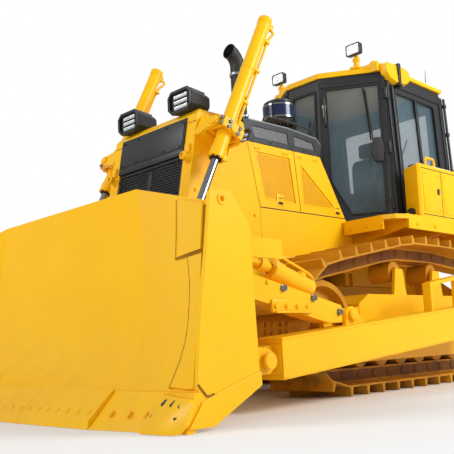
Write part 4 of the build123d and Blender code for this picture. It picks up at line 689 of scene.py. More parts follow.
def build_hood_screens():
    """The mesh, trims and rails of the openings high on the hood's sides."""
    pitch = 0.017
    seats = []
    trim, backing = Shape(), Shape()
    for outline in screen_windows:
        strip_outline(trim, outline, 0.014, 0.566, 0.5775, hood_side)
        backing.skin([[hood_side(corner, at) for corner in outline] for at in (0.5655, 0.5668)])
        low_y = sum(corner[0] for corner in outline) / 4
        for along, up in cell_places(0.3, 0.07, pitch, lambda along, up: inside(
                outline, (low_y + along, 2.377 + up), 0.006)):
            for side in (-1, 1):
                seats.append((Vector((side * 0.5668, low_y + along, 2.377 + up)), Vector((side, 0, 0)),
                              Vector((0, 1, 0))))
    copies("screen_mesh", mesh_cell(pitch, 0.005, 0.003), seats, MESH_GREY)
    piece("screen_backs", backing.both_sides(), GRILLE_BLACK)
    piece("screen_trims", trim.both_sides(), BLACK, bevel=0.002)
    rail = Shape().skin([[(0.560, y, z), (0.577, y, z), (0.577, y, z + 0.012), (0.548, y, z + 0.014)]
                         for y, z in ((-0.93, 2.476), (-0.40, 2.480), (0.03, 2.448), (0.095, 2.392))])
    piece("screen_rails", rail.both_sides(), MESH_GREY, bevel=0.002)
    bolts("dark", [(hood_half, y, 2.300) for y in (-0.90, -0.65, -0.361, -0.17, 0.05)], (1, 0, 0))


door_fields = {"front": [(-0.867, 2.200), (-0.391, 2.200), (-0.330, 1.755), (-0.758, 1.755)],
               "rear": [(-0.241, 2.160), (-0.221, 1.755), (0.293, 1.755)]}


def build_engine_doors():
    """Each door's bead and punched sheet in its pressed field, its latch, lifting hinge and screws."""
    pitch = 0.024
    latches = {"front": (-0.560, 1.768), "rear": (0.300, 1.752)}
    hinges = {"front": (-0.8398, -0.4582), "rear": (-0.25, -0.007)}
    for place, field in door_fields.items():
        for name, side in SIDES:
            body = "engine_door_" + place + "_" + name
            bead = Shape()
            strip_outline(bead, field, 0.013, side * 0.5745, side * 0.5775, hood_side)
            piece("door_bead_" + place + "_" + name, bead, YELLOW, body, bevel=0.001)
            middle = sum((Vector(corner) for corner in field), Vector((0, 0))) / len(field)
            cells = cell_places(0.4, 0.4, pitch, lambda along, up: inside(
                field, (middle.x + along, middle.y + up), 0.022))
            seats = [(Vector((side * 0.5674, middle.x + along, middle.y + up)), Vector((side, 0, 0)),
                      Vector((0, 1, 0))) for along, up in cells]
            # the punched sheet is darker yellow: painted shade in the pressed field
            sheet = mesh_cell(pitch, 0.012, 0.003)
            copies("door_sheet_" + place + "_" + name, sheet, seats, SHADED_FIELD_YELLOW, body)
            y, z = latches[place]
            latch = Shape().block((side * 0.560, y - 0.048, z - 0.058), (side * 0.579, y + 0.048, z + 0.058))
            piece("door_latch_" + place + "_" + name, latch, YELLOW, body, bevel=0.004)
            slot = Shape().block((side * 0.5785, y - 0.030, z - 0.040), (side * 0.5812, y + 0.030, z - 0.014))
            slot.block((side * 0.5785, y - 0.034, z + 0.018), (side * 0.5806, y + 0.034, z + 0.025))
            piece("latch_slot_" + place + "_" + name, slot, RUBBER, body, bevel=0.001)
            hinge = Shape()
            for along in hinges[place]:
                hinge.block((side * 0.562, along - 0.034, 2.205), (side * 0.5795, along + 0.034, 2.262))
                for step in (-0.018, 0.018):
                    bolt(body, "small", (side * 0.5795, along + step, 2.225), (side, 0, 0))
            piece("door_hinge_" + place + "_" + name, hinge, YELLOW, body, bevel=0.003)


def build_side_panels():
    """The lower hood panels' swages and screws, the guard's seams, dark strips in the doors' gaps as painted
    shade, rails and eyes.
    """
    swage = Shape().skin([[(x, -0.775, z), (x, 0.47, z), (x, 0.50, z + 0.03), (x, -0.78, z + 0.03)]
                          for x, z in ((0.573, 1.215), (0.5785, 1.217))])
    piece("panel_swages", swage.both_sides(), YELLOW, bevel=0.002)
    bolts("medium", [(hood_half, y, 1.16) for y in (-0.78, -0.35, 0.1, 0.48)], (1, 0, 0))
    bolts("medium", [(guard_half, y, z) for y, z in (
        (-1.50, 2.27), (-1.50, 1.30), (-1.05, 2.38), (-0.918, 1.598), (-1.0, 1.15), (-1.62, 1.75))],
        (1, 0, 0))
    bolts("medium", [(0.50, y, 2.473) for y in (-1.45, -1.25, -1.05)], (0, 0, 1))
    # the guard's cap meets its sides in a narrow sealed seam
    seam = Shape().block((0.5795, -1.545, 2.346), (0.5812, -1.06, 2.351))
    seam.slab(on_face(0.4725, 2.346, -0.001), (0.107, 0, 0), face_up * 0.005, face_out * 0.0025)
    piece("guard_seams", seam.both_sides(), RUBBER)
    # dark rubber strips in the gaps round the doors: painted shade in the gaps
    seals = Shape().block((0.550, -0.836, 1.6758), (0.571, 0.422, 1.6842))
    for top, foot in ((-0.967, -0.838), (-0.331, -0.270), (0.074, 0.423)):
        seals.slab((0.550, top - 0.0042, 2.270), (0, 0.0084, 0), (0, foot - top, -0.585), (0.021, 0, 0))
    piece("door_gap_seals", seals.both_sides(), RUBBER)
    rail = ((0.50, -0.66, 2.49), (0.50, -0.66, 2.55), (0.51, -0.60, 2.585), (0.52, -0.30, 2.580),
            (0.53, -0.02, 2.555), (0.535, 0.04, 2.52), (0.535, 0.05, 2.42))
    bent_pipes("hood_rails", both_ways(rail), 0.011, BLACK)
    # lifting eyes beside the grille
    hook = Shape()
    hook.turned([(0.020, 0), (0.044, 0), (0.044, 0.012), (0.032, 0.018), (0.030, 0.05), (0.036, 0.055),
                 (0.036, 0.066), (0.020, 0.072)], on_face(0.520, 2.03, -0.002), face_out, 24)
    hook.slab(on_face(0.492, 2.06, -0.002), (0.056, 0, 0), face_up * 0.085, face_out * 0.030)
    piece("guard_eyes", hook.both_sides(), YELLOW, bevel=0.003)


def build_stacks():
    """The exhaust's clamps and lip, and the pre-cleaner."""
    stack = Vector((0.300, -0.757, 0))
    clamp = Shape()
    for z in (2.575, 2.995):
        clamp.turned([(0.071, z), (0.080, z + 0.002), (0.080, z + 0.026), (0.071, z + 0.028)], stack,
                     (0, 0, 1), 32)
    clamp.block((0.366, -0.772, 2.578), (0.402, -0.742, 2.600))
    piece("exhaust_clamps", clamp, STEEL, bevel=0.001)
    lip_turn = radians(78)
    lip_foot = Vector((0.300, -0.897 + 0.140 * cos(lip_turn), 3.089 + 0.140 * sin(lip_turn)))
    lip_way = Vector((0, -sin(lip_turn), cos(lip_turn)))
    lip = Shape().turned([(0.0665, -0.02), (0.0735, -0.02), (0.0745, -0.004), (0.0725, 0.0),
                          (0.0665, -0.001)], lip_foot, lip_way, 32)
    piece("exhaust_lip", lip, GRILLE_BLACK)
    build_precleaner()


def build_precleaner():
    """The pre-cleaner's body on its neck, its ringed bowl, vanes, knob and clamp."""
    axis, up = Vector((0.245, -0.130, 0)), Vector((0, 0, 1))
    body = Shape().turned([(0.0, 2.5005), (0.115, 2.5005), (0.115, 2.540), (0.090, 2.556), (0.088, 2.600),
                           (0.104, 2.612), (0.132, 2.632), (0.150, 2.684), (0.160, 2.690), (0.160, 2.836),
                           (0.150, 2.868), (0.122, 2.886), (0.050, 2.896), (0.0, 2.896)], axis, up, 40)
    piece("cleaner_body", body, BLACK, stands_for=["precleaner"])
    rings = Shape()
    for z in (2.690, 2.818):
        rings.turned([(0.158, z), (0.1638, z + 0.002), (0.1638, z + 0.018), (0.158, z + 0.020)], axis, up, 40)
    piece("cleaner_rings", rings, DARKENED_CHROME)
    band = Shape().turned([(0.159, 2.711), (0.1618, 2.713), (0.1618, 2.815), (0.159, 2.817)], axis, up, 40)
    piece("cleaner_bowl", band, BOWL_BLUE)
    vanes = [(axis + Vector((x, y, 2.618)), up, Vector((-y, x, 0)).normalized())
             for x, y in ring_points(0.124, 24)]
    copies("cleaner_vanes", Shape().block((-0.002, -0.024, -0.010), (0.002, 0.024, 0.050)), vanes, BLACK)
    knob = Shape().turned([(0.0, 0), (0.030, 0), (0.036, 0.006), (0.036, 0.020), (0.026, 0.028),
                           (0.0, 0.030)], axis + up * 2.8955, up, 24)
    piece("cleaner_knob", knob, BLACK)
    clamp = Shape().turned([(0.088, 2.562), (0.094, 2.564), (0.094, 2.582), (0.088, 2.584)], axis, up, 32)
    piece("cleaner_clamp", clamp, STEEL)


# ---------------------------------------------------------------- lift cylinders
lift_pivot = Vector((0.780, -1.434, 2.230))
lift_up = Vector((0, 0.655, 1.280)).normalized()
lift_aft = Vector((0, lift_up.z, -lift_up.y))


def on_lift(side, across, up, aft):
    """A point by a lift cylinder: outwards, up it and aft of it from its trunnion."""
    foot = Vector((side * (lift_pivot.x + across), lift_pivot.y, lift_pivot.z))
    return foot + lift_up * up + lift_aft * aft


def build_lift_cylinders():
    """Pipes, clamps, caps, wipers, bolts and hoses on the two lift cylinders."""
    for name, side in SIDES:
        body = "lift_barrel_" + name
        routes = [[on_lift(side, *point) for point in route] for route in (
            ((0, 1.225, 0.062), (0, 1.225, 0.112), (0.004, 1.205, 0.135), (0.012, 1.14, 0.100),
             (0.016, 1.05, 0.088), (0.016, 0.60, 0.088), (0.016, 0.24, 0.088), (0.008, 0.16, 0.092),
             (-0.020, 0.125, 0.098), (-0.030, 0.10, 0.066)),
            ((0, -0.245, 0.064), (0, -0.245, 0.098), (0.0, -0.225, 0.108), (0, -0.17, 0.108),
             (0, -0.12, 0.100)))]
        bent_pipes("lift_pipes_" + name, routes, 0.0125, YELLOW, body)
        blocks = Shape()
        for low, high, near, far, half in (
                (1.195, 1.250, 0.052, 0.088, 0.026), (-0.270, -0.215, 0.058, 0.086, 0.026),
                (0.34, 0.366, 0.050, 0.104, 0.034), (0.70, 0.726, 0.050, 0.104, 0.034),
                (1.04, 1.066, 0.050, 0.104, 0.034)):
            blocks.slab(on_lift(side, -half + 0.008, low, near), Vector((side * 2 * half, 0, 0)),
                        lift_up * (high - low), lift_aft * (far - near))
        piece("lift_clamps_" + name, blocks, YELLOW, body, bevel=0.003)
        for up in (0.353, 0.713, 1.053):
            bolt(body, "small", on_lift(side, -0.012, up, 0.104), lift_aft)
        cap = Shape().turned([(0.0, 1.258), (0.050, 1.258), (0.056, 1.262), (0.054, 1.268), (0.030, 1.270),
                              (0.0, 1.270)], on_lift(side, 0, 0, 0), lift_up, 32)
        cap.turned([(0.0625, 0.60), (0.0655, 0.602), (0.0655, 0.618), (0.0625, 0.620)],
                   on_lift(side, 0, 0.06, 0), lift_up, 32)
        piece("lift_barrel_cap_" + name, cap, YELLOW, body)
        wiper = Shape().turned([(0.0345, -0.286), (0.052, -0.286), (0.054, -0.292), (0.046, -0.300),
                                (0.0345, -0.300)], on_lift(side, 0, 0, 0), lift_up, 32)
        piece("lift_wiper_" + name, wiper, RUBBER, body)
        for across, aft in ring_points(0.058, 8):
            bolt(body, "small", on_lift(side, 0, -0.2855, aft) + Vector((across, 0, 0)), -lift_up)
        # bolts that hold the yoke's caps, and the trunnion covers
        for across in (-0.072, 0.072):
            for up in (-0.026, 0.026):
                for facing in (-1, 1):
                    bolt("tractor", "chrome", on_lift(side, across, up, 0.116 * facing), lift_aft * facing)
        for up, aft in ((-0.026, -0.055), (0.026, -0.055), (-0.026, 0.055), (0.026, 0.055)):
            bolt("tractor", "chrome", on_lift(side, 0.100, up, aft), (side, 0, 0))
    covers, caps = Shape(), Shape()
    covers.turned([(0.0, 0), (0.040, 0), (0.042, 0.004), (0.042, 0.012), (0.036, 0.016), (0.0, 0.016)],
                  on_lift(1, 0.0995, 0, 0), (1, 0, 0), 28)
    for reach in (-0.155, 0.155):
        way = lift_aft * (1 if reach > 0 else -1)
        caps.turned([(0.0, 0), (0.040, 0), (0.042, 0.004), (0.042, 0.012), (0.034, 0.018), (0.0, 0.018)],
                    on_lift(1, 0, 0, reach - 0.006 * (1 if reach > 0 else -1)), way, 28)
    piece("trunnion_covers", covers.both_sides(), YELLOW)
    piece("yoke_caps", caps.both_sides(), YELLOW)
    # held hoses from the guard to the blocks at each trunnion
    hoses = []
    for _, side in SIDES:
        for lower in (0.0, 0.05):
            hoses.append([on_lift(side, across, up - lower, aft) for across, up, aft in (
                (-0.19, 0.18, 0.30 - lower), (-0.12, 0.22, 0.26), (-0.02, 0.20, 0.24), (0.045, 0.13, 0.22),
                (0.05, 0.07, 0.175))])
    bent_pipes("lift_hoses", hoses, 0.014, RUBBER)
    ends = Shape()
    for hose in hoses:
        way = (hose[-1] - hose[-2]).normalized()
        ends.turned([(0.0, -0.01), (0.018, -0.01), (0.018, 0.030), (0.014, 0.034), (0.0, 0.034)], hose[-1],
                    way, 12)
    piece("hose_ends", ends, STEEL)


# ---------------------------------------------------------------- blade
def blade_skin():
    """Casts along the machine onto the blade's front: gives the point and the facing at an x and z."""
    mesh = nodes["moldboard"].data
    tree = BVHTree.FromPolygons([corner.co for corner in mesh.vertices],
                                [face.vertices for face in mesh.polygons])

    def at(x, z, out=0.0):
        point, facing, _, _ = tree.ray_cast(Vector((x, -3.6, z)), Vector((0, 1, 0)))
        facing = facing if facing.y < 0 else -facing
        return point + facing * out
    return at


# heights and X of the wing liner's curved inner edge
liner_inner = ((0.21, 1.772), (0.30, 1.799), (0.40, 1.841), (0.51, 1.868), (0.66, 1.868), (0.80, 1.864),
               (0.975, 1.809))
liner_outer, corner_inner, corner_foot, corner_top = 1.992, 1.622, 0.998, 1.262


def liner_edge(z):
    """X of the wing liner's inner edge at a height."""
    for (low, near), (high, far) in zip(liner_inner, liner_inner[1:]):
        if z <= high:
            return near + (far - near) * max(0, z - low) / (high - low)
    return liner_inner[-1][1]


def build_blade():
    """Liners, corner plates and welds on the wings, the welds brown as painted shadow lines, and all that is
    bolted to the blade's foot.
    """
    at = blade_skin()
    heights = [0.225 + 0.075 * step for step in range(11)]
    liners, corners, beads = Shape(), Shape(), []
    for _, side in SIDES:
        rows = []
        for z in heights:
            near = liner_edge(z)
            rows.append([at(side * (near + (liner_outer - near) * share / 6), z, 0.015)
                         for share in range(7)])
        liners.sheet(rows, (0, 0.018, 0))
        rows = [[at(side * (corner_inner + (liner_outer - corner_inner) * share / 6),
                    corner_foot + (corner_top - corner_foot + 0.10 * (1 - share / 6)) * up / 4,
                    0.008 + 0.018 * share / 6) for share in range(7)] for up in range(5)]
        corners.sheet(rows, (0, 0.020, 0))
        beads.append([at(side * (liner_edge(z) - 0.004), z, 0.009) for z in heights])
        beads.append([at(side * (1.618 + 0.375 * share / 8), 0.990, 0.006) for share in range(9)])
        beads.append([at(side * 1.618, 0.998 + 0.36 * up / 5, 0.004) for up in range(6)])
        beads.append([at(side * 1.996, z, 0.006) for z in [0.25 + 0.1 * step for step in range(11)]])
    piece("wing_liners", liners, YELLOW, "blade", bevel=0.002)
    piece("wing_corners", corners, YELLOW, "blade", bevel=0.002)
    for side in (-1, 1):
        beads.append([(side * 2.031, y, z) for y, z in (
            (-2.975, 0.252), (-2.94, 0.212), (-2.907, 0.177), (-2.861, 0.195))])
    # the blade's weld beads are brown: painted shadow lines along the liners, corner plates and end plates
    bent_pipes("blade_welds", beads, 0.007, WELD_SHADOW_BROWN, "blade")
    # bolts through the cutting edges and bits
    slots = []
    for step in range(21):
        bolt("blade", "plow", (-1.19 + 0.119 * step, -3.119, 0.094), (0, -0.70, 0.71))
    for side in (-1, 1):
        for x in (1.385, 1.547, 1.690):
            bolt("blade", "plow", on_bit(side, x, 0.095, 0.031), (0, -0.80, 0.60))
        facing, run = Vector((side * 0.10, -0.80, 0.58)).normalized(), Vector((side * 0.45, 0.2, 0.75))
        for x, z in ((1.840, 0.160), (1.915, 0.157), (1.985, 0.152), (1.800, 0.098), (1.862, 0.098),
                     (1.922, 0.096), (1.985, 0.094)):
            slots.append((on_bit(side, x, z, 0.0705 - 0.05 * z), facing, run))
    oblong = Shape().plate(((-0.024, -0.004), (-0.017, -0.011), (0.017, -0.011), (0.024, -0.004),
                            (0.024, 0.004), (0.017, 0.011), (-0.017, 0.011), (-0.024, 0.004)), "Z",
                           -0.002, 0.002)
    copies("corner_bit_slots", oblong, slots, GRILLE_BLACK, "blade")
    toe = Shape().skin([[on_bit(1, x, z, lift + (0.012 - 0.05 * z)) for x, z in (
        (1.792, 0.203), (2.040, 0.176), (2.066, 0.150), (2.066, 0.055), (2.030, 0.006), (1.985, 0.001),
        (1.765, 0.001), (1.738, 0.012), (1.736, 0.034))] for lift in (0.026, 0.058)])
    piece("corner_bit_toes", toe.both_sides(), YELLOW, "blade", bevel=0.004, stands_for=["corner_bits"])
    # end plates: the lifting hole's ring and the weld along the skirt
    ends = Shape()
    ends.turned([(0.018, 0), (0.034, 0), (0.034, 0.006), (0.030, 0.009), (0.018, 0.009)],
                (2.0295, -2.735, 1.290), (1, 0, 0), 24)
    piece("lifting_rings", ends.both_sides(), YELLOW, "blade", bevel=0.002)
    seam = [(2.031, -2.958, 0.153), (2.033, -2.90, 0.172), (2.033, -2.70, 0.232), (2.033, -2.489, 0.292)]
    bent_pipes("skirt_welds", both_ways(seam), 0.007, YELLOW, "blade")
    # a bar behind the blade's top edge
    lip = Shape().plate(((-2.484, 1.558), (-2.450, 1.556), (-2.450, 1.530), (-2.484, 1.528)), "X",
                        -0.92, 0.92)
    piece("blade_top_bar", lip, YELLOW, "blade", bevel=0.004)


def on_bit(side, x, z, lift):
    """A point over the foot of a wing, off its face by a lift."""
    share = (x - 1.263) / 0.767
    edge, foot = -3.175 + 0.105 * share, -2.930 - 0.032 * share
    return Vector((side * x, max(edge + (foot - edge) * z / 0.225 - lift, -3.1745), z))


brace_face = 1.630


def build_braces():
    """Fittings on the braces and tilt cylinders: bolts, pin caps, balls, glands, pipes and guard plates."""
    run = Vector((0, -0.863, 0.279)).normalized()
    bolts("chrome_big", [(brace_face, y, z) for y, z in ((-1.791, 0.832), (-1.469, 0.766), (-1.172, 0.663))],
          (1, 0, 0), "blade")
    bolts("medium", [(brace_face, y, z) for y, z in ((-2.12, 0.90), (-1.95, 0.87))], (1, 0, 0), "blade")
    caps, balls, plates = Shape(), Shape(), Shape()
    for x, y, z, radius in ((1.651, -1.010, 0.640, 0.044), (1.651, -2.290, 0.895, 0.044),
                            (1.651, -2.290, 1.120, 0.044), (1.741, -2.075, 0.340, 0.058)):
        caps.turned([(0.0, -0.012), (radius, -0.012), (radius, 0.004), (radius - 0.008, 0.010), (0.0, 0.010)],
                    (x, y, z), (1, 0, 0), 28)
    balls.turned([(0.0, 0), (0.020, 0.002), (0.030, 0.012), (0.032, 0.024), (0.026, 0.036), (0.014, 0.043),
                  (0.0, 0.045)], (1.600, -1.955, 1.060), (0.75, -0.3, 0.5), 24)
    # a bolted guard plate under the brace, with folded lips
    plates.block((1.632, -1.93, 0.655), (1.646, -1.52, 0.735))
    plates.block((1.632, -1.93, 0.655), (1.690, -1.52, 0.667))
    plates.skin([[(x, y, z) for y, z in ((-1.93, 0.735), (-1.52, 0.735), (-1.53, 0.752), (-1.92, 0.752))]
                 for x in (1.600, 1.646)])
    piece("brace_guards", plates.both_sides(), YELLOW, "blade", bevel=0.003)
    bolts("medium", [(1.646, y, 0.705) for y in (-1.89, -1.78, -1.67, -1.56)], (1, 0, 0), "blade")
    piece("pin_caps", caps.both_sides(), YELLOW, "blade")
    piece("brace_balls", balls.both_sides(), DARKENED_CHROME, "blade")
    # the tilt cylinder's gland, port and steel pipe along its barrel
    foot = Vector((1.560, -1.427, 0.841))
    gland = Shape()
    gland.turned([(0.060, 0.396), (0.078, 0.398), (0.080, 0.404), (0.080, 0.436), (0.078, 0.442),
                  (0.040, 0.444)], foot, run, 32)
    for along in (0.05, 0.36):
        gland.slab(foot + run * along + Vector((-0.024, 0, 0.060)), (0.048, 0, 0), Vector((0, 0, 0.034)),
                   run * 0.05)
    piece("tilt_glands", gland.both_sides(), YELLOW, "blade", bevel=0.002)
    pipe = [foot + run * along + Vector((x, 0, up)) for along, x, up in (
        (0.385, 0.0, 0.092), (0.385, 0.0, 0.115), (0.365, 0.01, 0.125), (0.30, 0.03, 0.110),
        (0.12, 0.03, 0.104), (0.0, 0.02, 0.104), (-0.06, 0.0, 0.090), (-0.10, -0.02, 0.060))]
    bent_pipes("tilt_pipes", both_ways(pipe), 0.010, YELLOW, "blade")


arm_face = 1.7495
trunnion_y, trunnion_z = 1.200, 0.620


def arm_z(y):
    """Height of the push arm's middle line, which rises towards its trunnion at the rear."""
    return trunnion_z + (y - trunnion_y) * 0.280 / 3.275


def build_push_arms():
    """Weld lines, trunnion rings, treads and noses on the push arms."""
    nose_y = -1.96
    for name, side in SIDES:
        welds = [[(side * arm_face, y, arm_z(y) + up) for y in (-1.955, -0.6, 0.76)]
                 for up in (0.128, -0.128)]
        bent_pipes("arm_welds_" + name, welds, 0.0055, YELLOW, "blade")
        rim = Shape().turned([(0.074, 0), (0.120, 0), (0.124, 0.005), (0.124, 0.012), (0.118, 0.016),
                              (0.074, 0.016)], (side * arm_face, trunnion_y, trunnion_z), (side, 0, 0), 36)
        bolt_circle("medium", (side * 1.7655, trunnion_y, trunnion_z), 0.098, 8, (side, 0, 0), "blade")
        piece("trunnion_rings_" + name, rim, YELLOW, "blade")
        cleats = [(Vector((side * 1.62, 0.16 + 0.045 * step, 0.924 + 0.0066 * step)),
                   Vector((0, -0.146, 0.989)), Vector((1, 0, 0))) for step in range(11)]
        copies("step_cleats_" + name, Shape().block((-0.034, -0.007, -0.003), (0.034, 0.007, 0.006)), cleats,
               YELLOW, "blade")
        nose = Shape().skin([[(side * x, y, arm_z(nose_y) + up) for x, up in (
            (inner, -half), (outer, -half), (outer, half), (inner, half))]
            for y, inner, outer, half in ((-1.967, 1.50, 1.74, 0.10), (-1.972, 1.51, 1.73, 0.09))])
        piece("arm_noses_" + name, nose, YELLOW, "blade", bevel=0.001)


# ---------------------------------------------------------------- cab
cab_lean, door_turn = radians(2.5), atan2(0.430, 0.640)
cab_foot, cab_half, cab_nose, cab_rear = 1.640, 0.880, 0.520, 2.220
hinge_y, side_length, side_taper = 0.950, 1.27, 0.030


def on_door(side, along, up, out=0.0):
    """A point on an angled door side: forwards from its rear pillar, up it and out of it."""
    level = Vector((side * sin(door_turn), -cos(door_turn), 0))
    rise = level * -sin(cab_lean) + Vector((0, 0, cos(cab_lean)))
    outward = level * cos(cab_lean) + Vector((0, 0, sin(cab_lean)))
    foot = Vector((side * cab_half, hinge_y, cab_foot))
    forwards = Vector((-side * cos(door_turn), -sin(door_turn), 0))
    return foot + forwards * along + rise * up + outward * out


def on_cab_side(side, y, z, out=0.0):
    """A point on the cab's straight side wall behind the door."""
    lean = (z - cab_foot) * tan(cab_lean)
    return Vector((side * (cab_half - side_taper * (y - hinge_y) / side_length - lean + out), y, z))


def on_nose(x, z, out=0.0):
    """A point on the cab's narrow front wall."""
    return Vector((x, cab_nose + (z - cab_foot) * tan(cab_lean) - out, z))


def on_rear(x, z, out=0.0):
    """A point on the cab's rear wall."""
    return Vector((x, cab_rear - (z - cab_foot) * tan(cab_lean) + out, z))


def bar(shape, place, low, high, near, far):
    """A straight bar on one of the cab's walls, between two corners of the wall."""
    (a0, b0), (a1, b1) = low, high
    ring = [place(a, b, near) for a, b in ((a0, b0), (a1, b0), (a1, b1), (a0, b1))]
    outer = [place(a, b, far) for a, b in ((a0, b0), (a1, b0), (a1, b1), (a0, b1))]
    return shape.skin([ring, outer])


def swept(shape, place, path, foot, near, top, far):
    """A bar along a path on a wall: its section is 2 x foot wide at near and 2 x top wide at far."""
    section = ((-foot, near), (foot, near), (top, far), (-top, far))
    return shape.skin([[place(across + width, up, out) for width, out in section] for across, up in path])


def rounded(low, high, radius, steps=4):
    """A rectangle's outline with rounded corners."""
    (x0, y0), (x1, y1) = low, high
    corners = ((x1 - radius, y1 - radius, 0), (x0 + radius, y1 - radius, 1), (x0 + radius, y0 + radius, 2),
               (x1 - radius, y0 + radius, 3))
    return [(x + radius * cos(turn), y + radius * sin(turn)) for x, y, quarter in corners
            for turn in [(quarter + step / steps) * pi / 2 for step in range(steps + 1)]]


def wall_gasket(shape, place, low, high, width, near, far):
    """A rounded rubber seal round a window in a wall."""
    outer = rounded(low, high, 0.05)
    inner = rounded((low[0] + width, low[1] + width), (high[0] - width, high[1] - width), 0.05 - width * 0.7)
    shape.skin([[place(*corner, at) for corner in ring] for ring, at in (
        (outer, near), (inner, near), (inner, far), (outer, far))], joined=True)


def build_cab_doors():
    """Each door's seal, rails, hinges, grip, handle and wiper."""
    pane = ((0.120, 0.100), (0.476, 0.100), (0.676, 0.480), (0.676, 1.520), (0.120, 1.520))
    for name, side in SIDES:
        body = "cab_door_" + name

        def at(along, up, out=0.0, side=side):
            return on_door(side, along, up, out)

        seal = Shape()
        middle = Vector((0.40, 0.81))
        rings = [[Vector(corner) + (middle - Vector(corner)).normalized() * width for corner in pane]
                 for width in (-0.006, 0.020)]
        seal.frame([at(*corner, 0.030) for corner in rings[0]], [at(*corner, 0.030) for corner in rings[1]],
                   at(0, 0, 0.019) - at(0, 0, 0))
        piece("door_seal_" + name, seal, RUBBER, body, bevel=0.003)
        rail = Shape()
        bar(rail, at, (0.052, 0.06), (0.094, 1.57), 0.046, 0.058)
        bar(rail, at, (0.100, 1.535), (0.735, 1.582), 0.046, 0.056)
        piece("door_rails_" + name, rail, BLACK, body, bevel=0.004)
        hinge = Shape()
        for up in (0.2, 0.8, 1.4):
            bar(hinge, at, (0.030, up - 0.050), (0.112, up + 0.050), 0.044, 0.064)
            hinge.turned([(0.0, -0.062), (0.017, -0.062), (0.017, 0.062), (0.0, 0.062)], at(0.046, up, 0.062),
                         at(0, 1) - at(0, 0), 16)
            for along, rise in ((0.082, -0.03), (0.082, 0.03), (0.102, 0.0)):
                bolt(body, "dark", at(along, up + rise, 0.064), at(0, 0, 1) - at(0, 0, 0))
        piece("door_hinges_" + name, hinge, BLACK, body, bevel=0.003)
        grip = [at(along, up, out) for along, up, out in (
            (0.695, 1.10, 0.046), (0.695, 1.10, 0.085), (0.695, 1.13, 0.100), (0.695, 1.27, 0.100),
            (0.695, 1.40, 0.100), (0.695, 1.43, 0.085), (0.695, 1.43, 0.046))]
        bent_pipes("door_grip_" + name, [grip], 0.011, BLACK, body)
        latch = Shape()
        bar(latch, at, (0.680, 1.16), (0.722, 1.33), 0.046, 0.066)
        piece("door_handle_plate_" + name, latch, BLACK, body, bevel=0.004)
        handle = Shape()
        bar(handle, at, (0.690, 1.195), (0.712, 1.300), 0.066, 0.084)
        bar(handle, at, (0.684, 1.290), (0.718, 1.330), 0.066, 0.092)
        piece("door_handle_" + name, handle, WHITE, body, bevel=0.004)
        # the wiper: its motor's cover at the hinge side, the arm up the pane and its blade
        cover = Shape().skin([[at(*corner, out) for corner in (
            (0.115, 0.66), (0.20, 0.66), (0.235, 0.74), (0.235, 0.84), (0.20, 0.92), (0.13, 0.92),
            (0.105, 0.84))] for out in (0.034, 0.074)])
        piece("wiper_motor_" + name, cover, PLASTIC, body, bevel=0.008)
        arm = Shape()
        swept(arm, at, ((0.205, 0.86), (0.232, 1.10), (0.262, 1.46)), 0.008, 0.052, 0.008, 0.064)
        swept(arm, at, ((0.232, 0.90), (0.256, 1.20), (0.282, 1.50)), 0.005, 0.032, 0.009, 0.050)
        piece("wiper_arm_" + name, arm, RUBBER, body, bevel=0.002)


